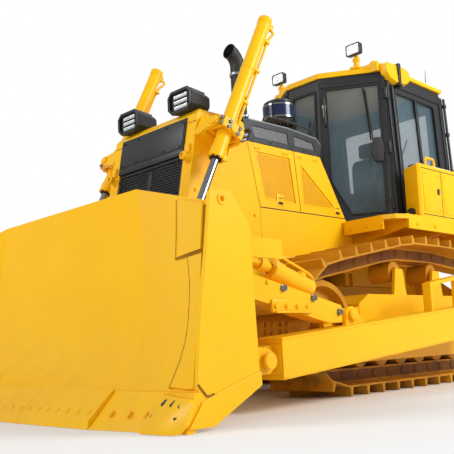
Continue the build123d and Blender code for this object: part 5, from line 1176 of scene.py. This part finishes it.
def build_cab_outside():
    """Window seals, the side windows' dividers, trims, header strips, pillar tubes, wipers and the roof."""
    seals, divider, strips = Shape(), Shape(), Shape()
    for side in (-1, 1):
        def at(y, z, out=0.0, side=side):
            return on_cab_side(side, y, z, out)

        wall_gasket(seals, at, (1.120, 1.990), (1.995, 3.120), 0.026, -0.010, 0.010)
        bar(divider, at, (1.555, 2.005), (1.595, 3.105), -0.020, 0.006)
        bar(divider, at, (1.600, 2.02), (1.618, 3.09), -0.016, -0.004)
        bar(strips, at, (1.01, 3.160), (2.16, 3.235), -0.002, 0.012)
        bar(strips, at, (0.985, 1.70), (1.035, 3.23), -0.002, 0.014)
        bar(strips, at, (2.120, 1.70), (2.190, 3.25), -0.002, 0.014)
        for z in (1.80, 2.10, 2.40, 2.70, 3.0, 3.2):
            bolt("tractor", "dark", at(1.010, z, 0.014), (side, 0, 0))
            bolt("tractor", "dark", at(2.155, z, 0.014), (side, 0, 0))
    wall_gasket(seals, on_nose, (-0.180, 1.924), (0.180, 3.186), 0.024, -0.010, 0.010)
    wall_gasket(seals, on_rear, (-0.630, 2.320), (0.630, 3.120), 0.026, -0.010, 0.010)
    piece("window_seals", seals, RUBBER)
    piece("window_dividers", divider, BLACK, bevel=0.003)
    piece("cab_trims", strips, BLACK, bevel=0.004)
    # bare header strips over the doors
    header = Shape()
    for side in (-1, 1):
        bar(header, lambda along, up, out, side=side: on_door(side, along, up, out),
            (0.02, 1.598), (0.755, 1.655), -0.002, 0.018)
    piece("cab_headers", header, BLACK, bevel=0.005)
    tubes, clamps = [], Shape()
    for side in (-1, 1):
        tubes.append([on_cab_side(side, 2.215, z, 0.022) for z in (1.75, 2.3, 2.8, 3.24)])
        tubes.append([on_cab_side(side, 1.065, z, 0.020) for z in (1.72, 2.2, 2.7, 3.14)])
        for z in (1.9, 2.35, 2.8, 3.15):
            place = on_cab_side(side, 2.215, z, 0.022)
            clamps.turned([(0.0, -0.02), (0.026, -0.02), (0.026, 0.02), (0.0, 0.02)], place, (0, 0, 1), 14)
    bent_pipes("pillar_tubes", tubes, 0.016, BLACK)
    piece("pillar_clamps", clamps, BLACK, bevel=0.002)
    wiper = Shape()
    swept(wiper, on_nose, ((0.0, 1.95), (0.05, 2.3), (0.075, 2.62)), 0.007, 0.02, 0.007, 0.032)
    swept(wiper, on_nose, ((0.03, 2.15), (0.062, 2.5), (0.09, 2.85)), 0.005, 0.004, 0.009, 0.020)
    wiper.turned([(0.0, -0.004), (0.030, -0.004), (0.032, 0.02), (0.024, 0.034), (0.0, 0.036)],
                 on_nose(0, 1.945), (0, -1, 0.04), 20)
    swept(wiper, on_rear, ((0.0, 2.34), (0.16, 2.6), (0.30, 2.86)), 0.006, 0.006, 0.006, 0.026)
    piece("nose_wiper", wiper, RUBBER, bevel=0.002)
    build_roof()


def build_roof():
    """Roof seams and bosses, the corner brackets with their clamps, the aerial and the work lamps."""
    brackets, clamps, boss = Shape(), Shape(), Shape()
    for side in (-1, 1):
        def out(x, y, z, side=side):
            return Vector((side * x, y, z))
        # a curved yellow bracket over the pillar between the door and the side window
        brackets.skin([[out(x, y, z) for x, z in (
            (0.770, high), (0.865, high - 0.010), (0.880, low), (0.820, low - 0.02), (0.790, low))]
                       for y, low, high in ((0.93, 3.27, 3.375), (0.98, 3.22, 3.392), (1.10, 3.19, 3.398),
                                            (1.22, 3.19, 3.398), (1.33, 3.22, 3.390), (1.38, 3.28, 3.372))])
        clamps.block(*sorted_corners(out(0.800, 1.135, 3.150), out(0.893, 1.175, 3.404)))
        clamps.block(*sorted_corners(out(0.830, 1.125, 3.150), out(0.898, 1.185, 3.180)))
        boss.turned([(0.0, 0), (0.040, 0), (0.045, 0.006), (0.045, 0.034), (0.038, 0.042), (0.0, 0.042)],
                    out(0.700, 0.960, 3.394), (0, 0, 1), 24)
        boss.block(*sorted_corners(out(0.60, 2.02, 3.360), out(0.76, 2.16, 3.392)))
        boss.turned([(0.0, 0), (0.036, 0), (0.040, 0.006), (0.040, 0.03), (0.0, 0.032)],
                    out(0.680, 2.09, 3.390), (0, 0, 1), 24)
        for y in (1.02, 1.28):
            bolt("tractor", "medium", out(0.825, y, 3.396), (0, 0, 1))
        for y in (1.5, 1.75, 2.0):
            bolt("tractor", "small", out(0.72, y, 3.3655), (0, 0, 1))
    piece("roof_brackets", brackets, YELLOW, bevel=0.006)
    piece("roof_clamps", clamps, BLACK, bevel=0.004)
    piece("roof_bosses", boss, YELLOW, bevel=0.003)
    ribs = Shape()
    for x in (-0.36, 0.0, 0.36):
        ribs.skin([[(x + width, y, z) for width, z in ((-0.05, 3.364), (-0.035, 3.376), (0.035, 3.376),
                                                       (0.05, 3.364))] for y in (1.05, 2.0)])
    piece("roof_ribs", ribs, YELLOW, bevel=0.003)
    mast = Shape().turned([(0.0, 0), (0.022, 0), (0.022, 0.020), (0.008, 0.034), (0.005, 0.05),
                           (0.0025, 0.23), (0.0, 0.232)], (0.640, 2.120, 3.392), (0.02, 0.03, 1), 12)
    piece("roof_aerial", mast, RUBBER)
    lamps, lens, arms, rims = Shape(), Shape(), Shape(), Shape()
    for side in (-1, 1):
        centre = Vector((side * 0.545, 0.845, 3.587))
        face = rounded((-0.0915, -0.064), (0.0915, 0.064), 0.022)
        outer = [centre + Vector((x, -0.0465, z)) for x, z in face]
        inner = [centre + Vector((x * 0.84, -0.0465, z * 0.80)) for x, z in face]
        rims.frame(outer, inner, (0, 0.016, 0))
        lens.skin([[centre + Vector((x * 0.86, at, z * 0.82)) for x, z in face] for at in (-0.0440, -0.0420)])
        lamps.skin([[centre + Vector((x * scale, at, z * scale)) for x, z in face]
                    for at, scale in ((-0.0380, 1.0), (0.010, 0.98), (0.044, 0.72))])
        arms.block(centre + Vector((-0.016, -0.006, -0.105)), centre + Vector((0.016, 0.030, -0.060)))
        arms.turned([(0.0, -0.034), (0.026, -0.034), (0.026, 0.034), (0.0, 0.034)],
                    centre + Vector((0, 0.014, -0.105)), (1, 0, 0), 18)
        arms.slab(centre + Vector((-0.022, -0.02, -0.195)), (0.044, 0, 0), (0, 0.02, 0.085), (0, 0.05, 0))
        arms.block(centre + Vector((-0.055, -0.045, -0.219)), centre + Vector((0.055, 0.095, -0.190)))
        for x in (-0.04, 0.04):
            bolt("tractor", "small", centre + Vector((x, 0.07, -0.190)), (0, 0, 1))
    piece("work_lamp_shells", lamps, BLACK, stands_for=["roof_lamps"])
    piece("work_lamp_rims", rims, BLACK, bevel=0.002)
    piece("work_lamp_lenses", lens, LENS)
    piece("work_lamp_arms", arms, YELLOW, bevel=0.003)


def sorted_corners(first, second):
    """The low and high corners of the box between two points."""
    return tuple(zip(*[sorted(pair) for pair in zip(first, second)]))


# ---------------------------------------------------------------- inside the cab
def pad(name, low, high, channels, taper, across_channels=False):
    """A stuffed pad: a crowned, closed form whose sides pull in, with sewn channels."""
    shape = Shape().block(low, high)
    bmesh.ops.subdivide_edges(shape.mesh, edges=list(shape.mesh.edges), cuts=25, use_grid_fill=True)
    centre = (Vector(low) + Vector(high)) / 2
    half = (Vector(high) - Vector(low)) / 2
    thin = min(range(3), key=lambda axis: half[axis])
    wide = [axis for axis in range(3) if axis != thin]
    for corner in shape.mesh.verts:
        share = Vector([(corner.co[axis] - centre[axis]) / half[axis] for axis in range(3)])
        first, second = (abs(share[axis]) for axis in wide)
        # the outline is a rounded rectangle, and the faces swell to a crown over the middle
        edge = (first ** 8 + second ** 8) ** (1 / 8)
        squeeze = 1.0 / max(1.0, edge / max(first, second, 1e-6))
        bulge = (1 - first ** 4) * (1 - second ** 4)
        groove = sum(max(0.0, 1 - abs(share[wide[0] if across_channels else wide[1]] - line) / 0.07)
                     for line in channels) * min(1.0, bulge * 3)
        waist = 1 - taper * share[thin] ** 4
        for axis in wide:
            corner.co[axis] = centre[axis] + (corner.co[axis] - centre[axis]) * squeeze * waist
        depth = half[thin] * (0.72 + 0.28 * bulge) - groove * 0.012
        corner.co[thin] = centre[thin] + share[thin] * depth
    made = piece(name, shape, CLOTH)
    made.data.shade_smooth()
    return made


def build_seat():
    """The stuffed pads, the headrest's posts and the bellows under the seat."""
    cushion = pad("seat_cushion_pad", (-0.255, 1.245, 1.9765), (0.255, 1.715, 2.0945),
                  (-0.45, 0.0, 0.45), 0.06, across_channels=True)
    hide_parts("seat_cushion")
    back = pad("seat_back_pad", (-0.245, 1.722, 1.940), (0.245, 1.848, 2.633), (-0.5, -0.1, 0.3), 0.05)
    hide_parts("seat_backrest")
    pad("seat_head_pad", (-0.138, 1.745, 2.650), (0.138, 1.838, 2.823), (), 0.06)
    posts = Shape()
    for x in (-0.06, 0.06):
        posts.turned([(0.0, 0), (0.008, 0), (0.008, 0.06), (0.0, 0.06)], (x, 1.790, 2.605), (0, 0, 1), 12)
    piece("headrest_posts", posts, DARKENED_CHROME)
    creases = [(0.188 if step % 2 else 0.166, 1.715 + 0.018 * step) for step in range(11)]
    folds = Shape().turned([(0.10, 1.705), *creases, (0.10, 1.90)], (0, 1.480, 0), (0, 0, 1), 24)
    piece("seat_bellows", folds, RUBBER)


def build_controls():
    """Grips, a monitor, pedals and arm pads around the seat."""
    pads, screens, pedals, levers = Shape(), Shape(), Shape(), Shape()
    for side in (-1, 1):
        pads.block(*sorted_corners((side * 0.34, 1.30, 2.248), (side * 0.50, 1.70, 2.288)))
        levers.turned([(0.0, 0), (0.030, 0), (0.034, 0.010), (0.024, 0.040), (0.019, 0.09), (0.022, 0.13),
                       (0.030, 0.155), (0.028, 0.180), (0.014, 0.192), (0.0, 0.194)],
                      (side * 0.42, 1.24, 2.30), (0, -0.12, 1), 20)
        pedals.slab((side * 0.13 - 0.045, 0.86, 1.75), (0.09, 0, 0), (0, 0.05, 0.13), (0, 0.012, -0.004))
        for step in range(4):
            pedals.slab((side * 0.13 - 0.04, 0.856 + 0.011 * step, 1.768 + 0.029 * step), (0.08, 0, 0),
                        (0, 0.004, 0.010), (0, -0.006, 0.002))
    screens.slab((-0.16, 0.795, 2.20), (0.24, 0, 0), (0, -0.05, 0.16), (0, -0.035, -0.011))
    piece("arm_pads", pads, RUBBER, bevel=0.012)
    piece("lever_grips", levers, RUBBER)
    piece("pedals", pedals, PLASTIC, bevel=0.002)
    piece("monitor_shell", screens, PLASTIC, bevel=0.006)
    glow = Shape().slab((-0.148, 0.797, 2.210), (0.216, 0, 0), (0, -0.044, 0.14), (0, 0.003, 0.001))
    piece("monitor_screen", glow, GLASS)
    post = Shape().turned([(0.0, 0), (0.016, 0), (0.012, 0.02), (0.012, 0.10), (0.0, 0.10)],
                          (-0.04, 0.765, 2.155), (0, -0.1, 1), 12)
    piece("monitor_post", post, BLACK)


# ---------------------------------------------------------------- tracks
track_half_gauge, shoe_pitch = 1.070, 0.228
# (Y, Z, radius) of the arcs that the shoes' joints follow: idler, last roller, sprocket, carrier rollers
belt_wheels = ((-0.772, 0.590, 0.504), (2.060, 0.326, 0.240), (2.440, 0.640, 0.538), (0.960, 1.069, 0.235),
               (0.300, 1.069, 0.235))


def belt_joints():
    """The (y, z) joints of a track's shoes, from under the idler rearwards and round."""
    def outward(wheel, following):
        reach_y, reach_z = following[0] - wheel[0], following[1] - wheel[1]
        return atan2(reach_z, reach_y) - pi / 2 + atan2(wheel[2] - following[2], hypot(reach_y, reach_z))

    runs = []
    for index, wheel in enumerate(belt_wheels):
        following = belt_wheels[(index + 1) % len(belt_wheels)]
        leaving, arriving = outward(wheel, following), outward(belt_wheels[index - 1], wheel)
        runs.append((((leaving - arriving) % (2 * pi)) * wheel[2], wheel, arriving, None))
        start, end = ((y + radius * cos(leaving), z + radius * sin(leaving))
                      for y, z, radius in (wheel, following))
        runs.append((hypot(end[0] - start[0], end[1] - start[1]), start, 0, end))
    length = sum(run[0] for run in runs)
    count = round(length / shoe_pitch)
    step = length / count

    def at(travel):
        travel %= length
        for reach, start, turn, end in runs:
            if travel > reach:
                travel -= reach
            elif end is None:
                angle = turn + travel / start[2]
                return Vector((start[0] + start[2] * cos(angle), start[1] + start[2] * sin(angle)))
            else:
                return Vector(start).lerp(Vector(end), travel / reach)
    return [at(runs[0][0] + step * (index - 0.1)) for index in range(count)]


def link_shape(length):
    """A chain link's outer plate with the bosses round its two pins."""
    shape = Shape()
    half = length / 2
    shape.plate(((-half + 0.012, -0.045), (half - 0.012, -0.045), (half - 0.030, 0.0), (half - 0.012, 0.040),
                 (-half + 0.012, 0.040), (-half + 0.030, 0.0)), "Z", 0, 0.007)
    shape.turned([(0.0, 0.0), (0.040, 0.0), (0.040, 0.012), (0.024, 0.018), (0.0, 0.018)],
                 (-half, -0.004, 0), (0, 0, 1), 10)
    return shape


def build_tracks():
    """Shoe bolts and chain links round both tracks."""
    joints = belt_joints()
    shoe_bolts, links = [], []
    for here, after in zip(joints, joints[1:] + joints[:1]):
        along = (after - here).normalized()
        out = Vector((along.y, -along.x))
        for share in (0.52, 0.80):
            place = here.lerp(after, share) + out * 0.0145
            shoe_bolts += [(x, place, out) for x in (-0.112, -0.046, 0.046, 0.112)]
        place = here.lerp(after, 0.5) - out * 0.068
        links += [(reach, place, along) for reach in (-0.105, 0.105)]
    for name, side in SIDES:
        for x, place, out in shoe_bolts:
            bolt("track_bolts_" + name, "shoe", (side * track_half_gauge + x, *place), (0, *out))
        seats = [(Vector((side * track_half_gauge + reach, *place)), Vector((1 if reach > 0 else -1, 0, 0)),
                  Vector((0, *along)) * (1 if reach > 0 else -1)) for reach, place, along in links]
        # the chain links are brown as painted shade
        copies("chain_links_" + name, link_shape((joints[1] - joints[0]).length), seats, SHADED_CHAIN_BROWN)
    build_wheels()


def build_wheels():
    """Caps, hubs and bolt circles on the idlers and final drives."""
    idler_y, idler_z, drive_y, drive_z = -0.772, 0.590, 2.440, 0.640
    hubs, caps = Shape(), Shape()
    for side in (-1, 1):
        way = (side, 0, 0)

        def beside(out, y, z, side=side):
            return (side * (track_half_gauge + out), y, z)

        caps.turned([(0.0, 0), (0.095, 0), (0.100, 0.006), (0.100, 0.020), (0.070, 0.034), (0.0, 0.034)],
                    beside(0.094, idler_y, idler_z), way, 32)
        bolt_circle("track", beside(0.1145, idler_y, idler_z), 0.082, 8, way)
        hubs.turned([(0.0, 0), (0.246, 0), (0.250, 0.006), (0.246, 0.014), (0.215, 0.022), (0.205, 0.034),
                     (0.120, 0.040), (0.110, 0.052), (0.050, 0.056), (0.0, 0.056)],
                    beside(0.148, drive_y, drive_z), way, 48)
        for kind, out, radius, count in (("track_big", 0.1665, 0.228, 16), ("track", 0.190, 0.090, 6),
                                         ("track_big", 0.044, 0.330, 6)):
            bolt_circle(kind, beside(out, drive_y, drive_z), radius, count, way)
    piece("idler_caps", caps, SHADED_TRACK_YELLOW)
    piece("drive_hubs", hubs, SHADED_TRACK_YELLOW)


# ---------------------------------------------------------------- decks and tanks
deck_top, deck_edge, deck_edge_z, tank_top, tank_face = 1.6395, 1.2255, 1.552, 2.188, 1.226


def build_decks():
    """Treads and edge bolts on the deck, and what is on its two side tanks and its rear tank."""
    studs = []
    for side in (-1, 1):
        for row in range(9):
            for column in range(9):
                x, y = 0.66 + 0.036 * column, 0.44 + 0.036 * row
                if y < 0.62 or x > 0.80:
                    run = Vector((1, 1 if (row + column) % 2 else -1, 0)).normalized()
                    studs.append((Vector((side * x, y, deck_top)), Vector((0, 0, 1)), run))
    copies("deck_treads", Shape().block((-0.012, -0.003, -0.001), (0.012, 0.003, 0.003)), studs, YELLOW)
    bolts("medium", [(x, 0.369, deck_edge_z) for x in (0.66, 0.85, 1.03)], (0, -1, 0))
    bolts("medium", [(deck_edge, y, deck_edge_z) for y in (0.72, 1.05, 1.45, 1.85, 2.2)], (1, 0, 0))
    bolts("medium", [(1.19, y, deck_top) for y in (0.60, 0.74)], (0, 0, 1))
    seams, caps, lids, pulls, feet = Shape(), Shape(), Shape(), Shape(), Shape()
    for low, high in ((1.665, 1.672), (2.140, 2.146)):
        seams.block((1.2195, 0.86, low), (1.2225, 2.14, high))
    for y in (1.24, 1.70):
        seams.block((1.2195, y, 1.672), (1.2225, y + 0.006, 2.140))
    for front, rear in ((1.30, 1.62), (1.80, 2.08)):
        lids.block((0.995, front, tank_top), (1.120, rear, tank_top + 0.011))
    for front, rear in ((0.885, 1.215), (1.275, 1.675), (1.730, 2.125)):
        lids.block((tank_face - 0.012, front, 1.70), (tank_face, rear, 2.115))
    caps.turned([(0.0, 0), (0.052, 0), (0.056, 0.006), (0.056, 0.026), (0.048, 0.034), (0.0, 0.036)],
                (1.045, 1.02, tank_top), (0, 0, 1), 28)
    for y in (1.165, 1.62, 2.07):
        pulls.block((1.2255, y - 0.018, 1.89), (1.234, y + 0.018, 1.95))
    feet.block((1.00, 0.86, 1.640), (1.19, 0.90, 1.652))
    piece("tank_seams", seams.both_sides(), RUBBER)
    piece("tank_lids", lids.both_sides(), YELLOW, bevel=0.004)
    piece("tank_caps", caps.both_sides(), BLACK, bevel=0.002)
    piece("tank_latches", pulls.both_sides(), BLACK, bevel=0.003)
    bolts("small", [(tank_face, y, z) for y in (0.915, 1.18, 1.305, 1.645, 1.76, 2.10)
                    for z in (1.73, 2.085)], (1, 0, 0))
    for side in (-1, 1):
        for y in (1.064, 1.234, 1.684, 1.854):
            feet.turned([(0.0, 0), (0.024, 0), (0.024, 0.006), (0.0, 0.007)], (side * 1.160, y, 2.1895),
                        (0, 0, 1), 16)
    piece("tank_feet", feet, YELLOW)
    # the round coupling at each tank's front foot
    rings = Shape()
    rings.turned([(0.0, 0), (0.040, 0), (0.044, 0.008), (0.044, 0.05), (0.030, 0.062), (0.0, 0.064)],
                 (1.075, 0.895, 1.700), (0.2, -1, 0.1), 24)
    rings.block((1.045, 0.86, 1.642), (1.110, 0.93, 1.690))
    piece("deck_couplings", rings.both_sides(), RUBBER, bevel=0.003)
    # ribs, a fuel cap and lamps on the rear tank
    back = Shape()
    for x in (-0.42, 0.0, 0.42):
        back.block((x - 0.03, 2.885, 1.46), (x + 0.03, 2.902, 2.06))
    back.block((-0.60, 2.885, 1.72), (0.60, 2.898, 1.76))
    piece("fuel_tank_ribs", back, YELLOW, bevel=0.004)
    cap = Shape().turned([(0.0, 0), (0.060, 0), (0.066, 0.006), (0.066, 0.030), (0.058, 0.040), (0.0, 0.042)],
                         (-0.380, 2.4803, 2.3415), (0, 0, 1), 32)
    cap.block((-0.43, 2.472, 2.383), (-0.33, 2.489, 2.397))
    piece("fuel_cap", cap, BLACK, bevel=0.002)
    lamps, glow, guards = Shape(), Shape(), Shape()
    for side in (-1, 1):
        lamps.block((side * 0.50 - 0.075, 2.800, 2.20), (side * 0.50 + 0.075, 2.885, 2.31))
        glow.block((side * 0.50 - 0.060, 2.884, 2.215), (side * 0.50 + 0.060, 2.890, 2.295))
        for z in (2.235, 2.255, 2.275):
            guards.block((side * 0.50 - 0.066, 2.889, z - 0.002), (side * 0.50 + 0.066, 2.894, z + 0.002))
    piece("rear_lamp_shells", lamps, BLACK, bevel=0.006)
    piece("rear_lamp_lenses", glow, LENS)
    piece("rear_lamp_guards", guards, BLACK)
    bolts("medium", [(0.6395, y, z) for y in (2.36, 2.62) for z in (1.33, 2.20)], (1, 0, 0))
    bolts("medium", [(0.60, 2.8895, z) for z in (1.52, 1.98)], (0, 1, 0))


def build_underbody():
    """Bolts under the machine and on its rear case, and the drawbar's pin."""
    bolts("medium", [(0.36, y, 0.5995) for y in (-1.2, -0.8, -0.4, 0.0, 0.4)], (0, 0, -1))
    bolts("medium", [(0.36, 2.3305, z) for z in (0.66, 0.86, 1.06, 1.18)], (0, 1, 0))
    pin = Shape().turned([(0.0, -0.16), (0.0355, -0.16), (0.0355, 0.0), (0.055, 0.002), (0.055, 0.022),
                          (0.020, 0.028), (0.020, 0.045), (0.0, 0.046)], (0, 3.095, 0.660), (0, 0, 1), 24)
    piece("drawbar_pin", pin, STEEL)


# finish, head's radius, head's height, sides, washer's radius and washer's thickness
fastener_kinds = {
    "small": (YELLOW, 0.0075, 0.006, 6, 0.012, 0.002),
    "dark": (BLACK, 0.0075, 0.006, 6, 0.012, 0.002),
    "medium": (YELLOW, 0.014, 0.010, 6, 0.021, 0.003),
    "chrome": (DARKENED_CHROME, 0.016, 0.016, 12, 0.020, 0.004),
    "chrome_big": (DARKENED_CHROME, 0.021, 0.020, 14, 0.028, 0.005),
    "plow": (YELLOW, 0.017, 0.0035, 14, 0.023, 0.002),
    "shoe": (SHADED_TRACK_YELLOW, 0.017, 0.014, 6, 0.022, 0.003),
    "track": (SHADED_TRACK_YELLOW, 0.012, 0.009, 6, 0.016, 0.002),
    "track_big": (SHADED_TRACK_YELLOW, 0.018, 0.014, 6, 0.024, 0.003),
}


def fit_fasteners():
    """Grows every noted fastener, one mesh for each body and kind."""
    for (body, kind), seats in seats_taken.items():
        finish, head, height, sides, washer, thickness = fastener_kinds[kind]
        name = kind + "_bolts_" + body
        made = FASTENERS.grow(name, seat_mesh(name, seats), Head=head, Height=height, Sides=sides,
                              Washer=washer, Thickness=thickness, Finish=finish)
        add_piece(name, made, finish, "tractor" if body.startswith("track_bolts") else body)


build_grille()
build_header()
build_hood_lamps()
build_hood_screens()
build_engine_doors()
build_side_panels()
build_stacks()
build_lift_cylinders()
build_blade()
build_braces()
build_push_arms()
build_cab_doors()
build_cab_outside()
build_seat()
build_controls()
build_tracks()
build_decks()
build_underbody()
fit_fasteners()


# ---------------------------------------------------------------- camera, light and floor
def place_camera():
    """A low camera in front of the blade's left corner."""
    heading, tilt, roll = radians(46.108), radians(5.970), radians(-2.718)
    look = Vector((-sin(heading) * cos(tilt), cos(heading) * cos(tilt), sin(tilt)))
    level = Vector((cos(heading), sin(heading), 0))
    upright = level.cross(look)
    right = level * cos(roll) + upright * sin(roll)
    up = upright * cos(roll) - level * sin(roll)
    lens = bpy.data.cameras.new("camera")
    lens.sensor_width = 36
    lens.lens = 57.605
    lens.shift_x, lens.shift_y = 0.0122, 0.0927
    lens.clip_end = 200
    camera = linked("camera", lens)
    camera.matrix_world = Matrix.Translation((4.96966, -5.58799, 0.45751)) @ Matrix(
        (right, up, -look)).transposed().to_4x4()
    bpy.context.scene.camera = camera


def area_light(name, place, aim, size, power):
    """A round lamp, turned to shine at a point."""
    lamp = bpy.data.lights.new(name, "AREA")
    lamp.shape = "DISK"
    lamp.size = size
    lamp.energy = power
    holder = linked(name, lamp)
    holder.location = place
    holder.rotation_euler = (Vector(aim) - Vector(place)).to_track_quat("-Z", "Y").to_euler()


def light_world(strength):
    """An even studio sky, which the camera and glass see as white."""
    world = bpy.data.worlds.new("studio")
    bpy.context.scene.world = world
    world.use_nodes = True
    sky = Graph()
    sky.tree = world.node_tree
    seen, through = (sky.node("ShaderNodeLightPath", out=ray)
                     for ray in ("Is Camera Ray", "Is Transmission Ray"))
    level = sky.node("ShaderNodeMapRange", {},
                     {"Value": seen.sum("MAXIMUM", seen, through), "To Min": strength})
    background = sky.tree.nodes["Background"].inputs
    background["Color"].default_value = (1, 1, 1, 1)
    sky.tree.links.new(level.socket, background["Strength"])


fade_start, fade_width = 2.6, 3.6


def lay_floor():
    """A pale floor that fades into the white background."""
    mesh = bpy.data.meshes.new("floor")
    mesh.from_pydata([(x * 60, y * 60, -0.002) for x, y in ((-1, -1), (1, -1), (1, 1), (-1, 1))], [],
                     [(0, 1, 2, 3)])
    floor = linked("floor", mesh)
    pale = Finish("studio_floor")
    reach = pale.node("ShaderNodeVectorMath", {"operation": "LENGTH"}, {0: pale.place()}, out="Value")
    matt = pale.node("ShaderNodeBsdfDiffuse", {}, {"Color": (0.8, 0.8, 0.8, 1)})
    white = pale.node("ShaderNodeEmission", {}, {"Color": (1, 1, 1, 1), "Strength": 1.0})
    mesh.materials.append(pale.close(pale.node("ShaderNodeMixShader", {}, {
        0: reach.above(fade_start, fade_width), 1: matt, 2: white})))


place_camera()
light_world(0.42)
area_light("key", (-3.5, -11, 9), (0, -1, 1.2), 6, 560)
area_light("side", (9.5, 3.5, 6.5), (0, 0.5, 1.5), 5, 900)
area_light("front_low", (7, -11, 2.2), (0, -1, 1.0), 5, 140)
area_light("rear", (-4, 10, 8), (0, 1, 1.5), 6, 400)
lay_floor()

bpy.context.scene.view_settings.view_transform = "Standard"
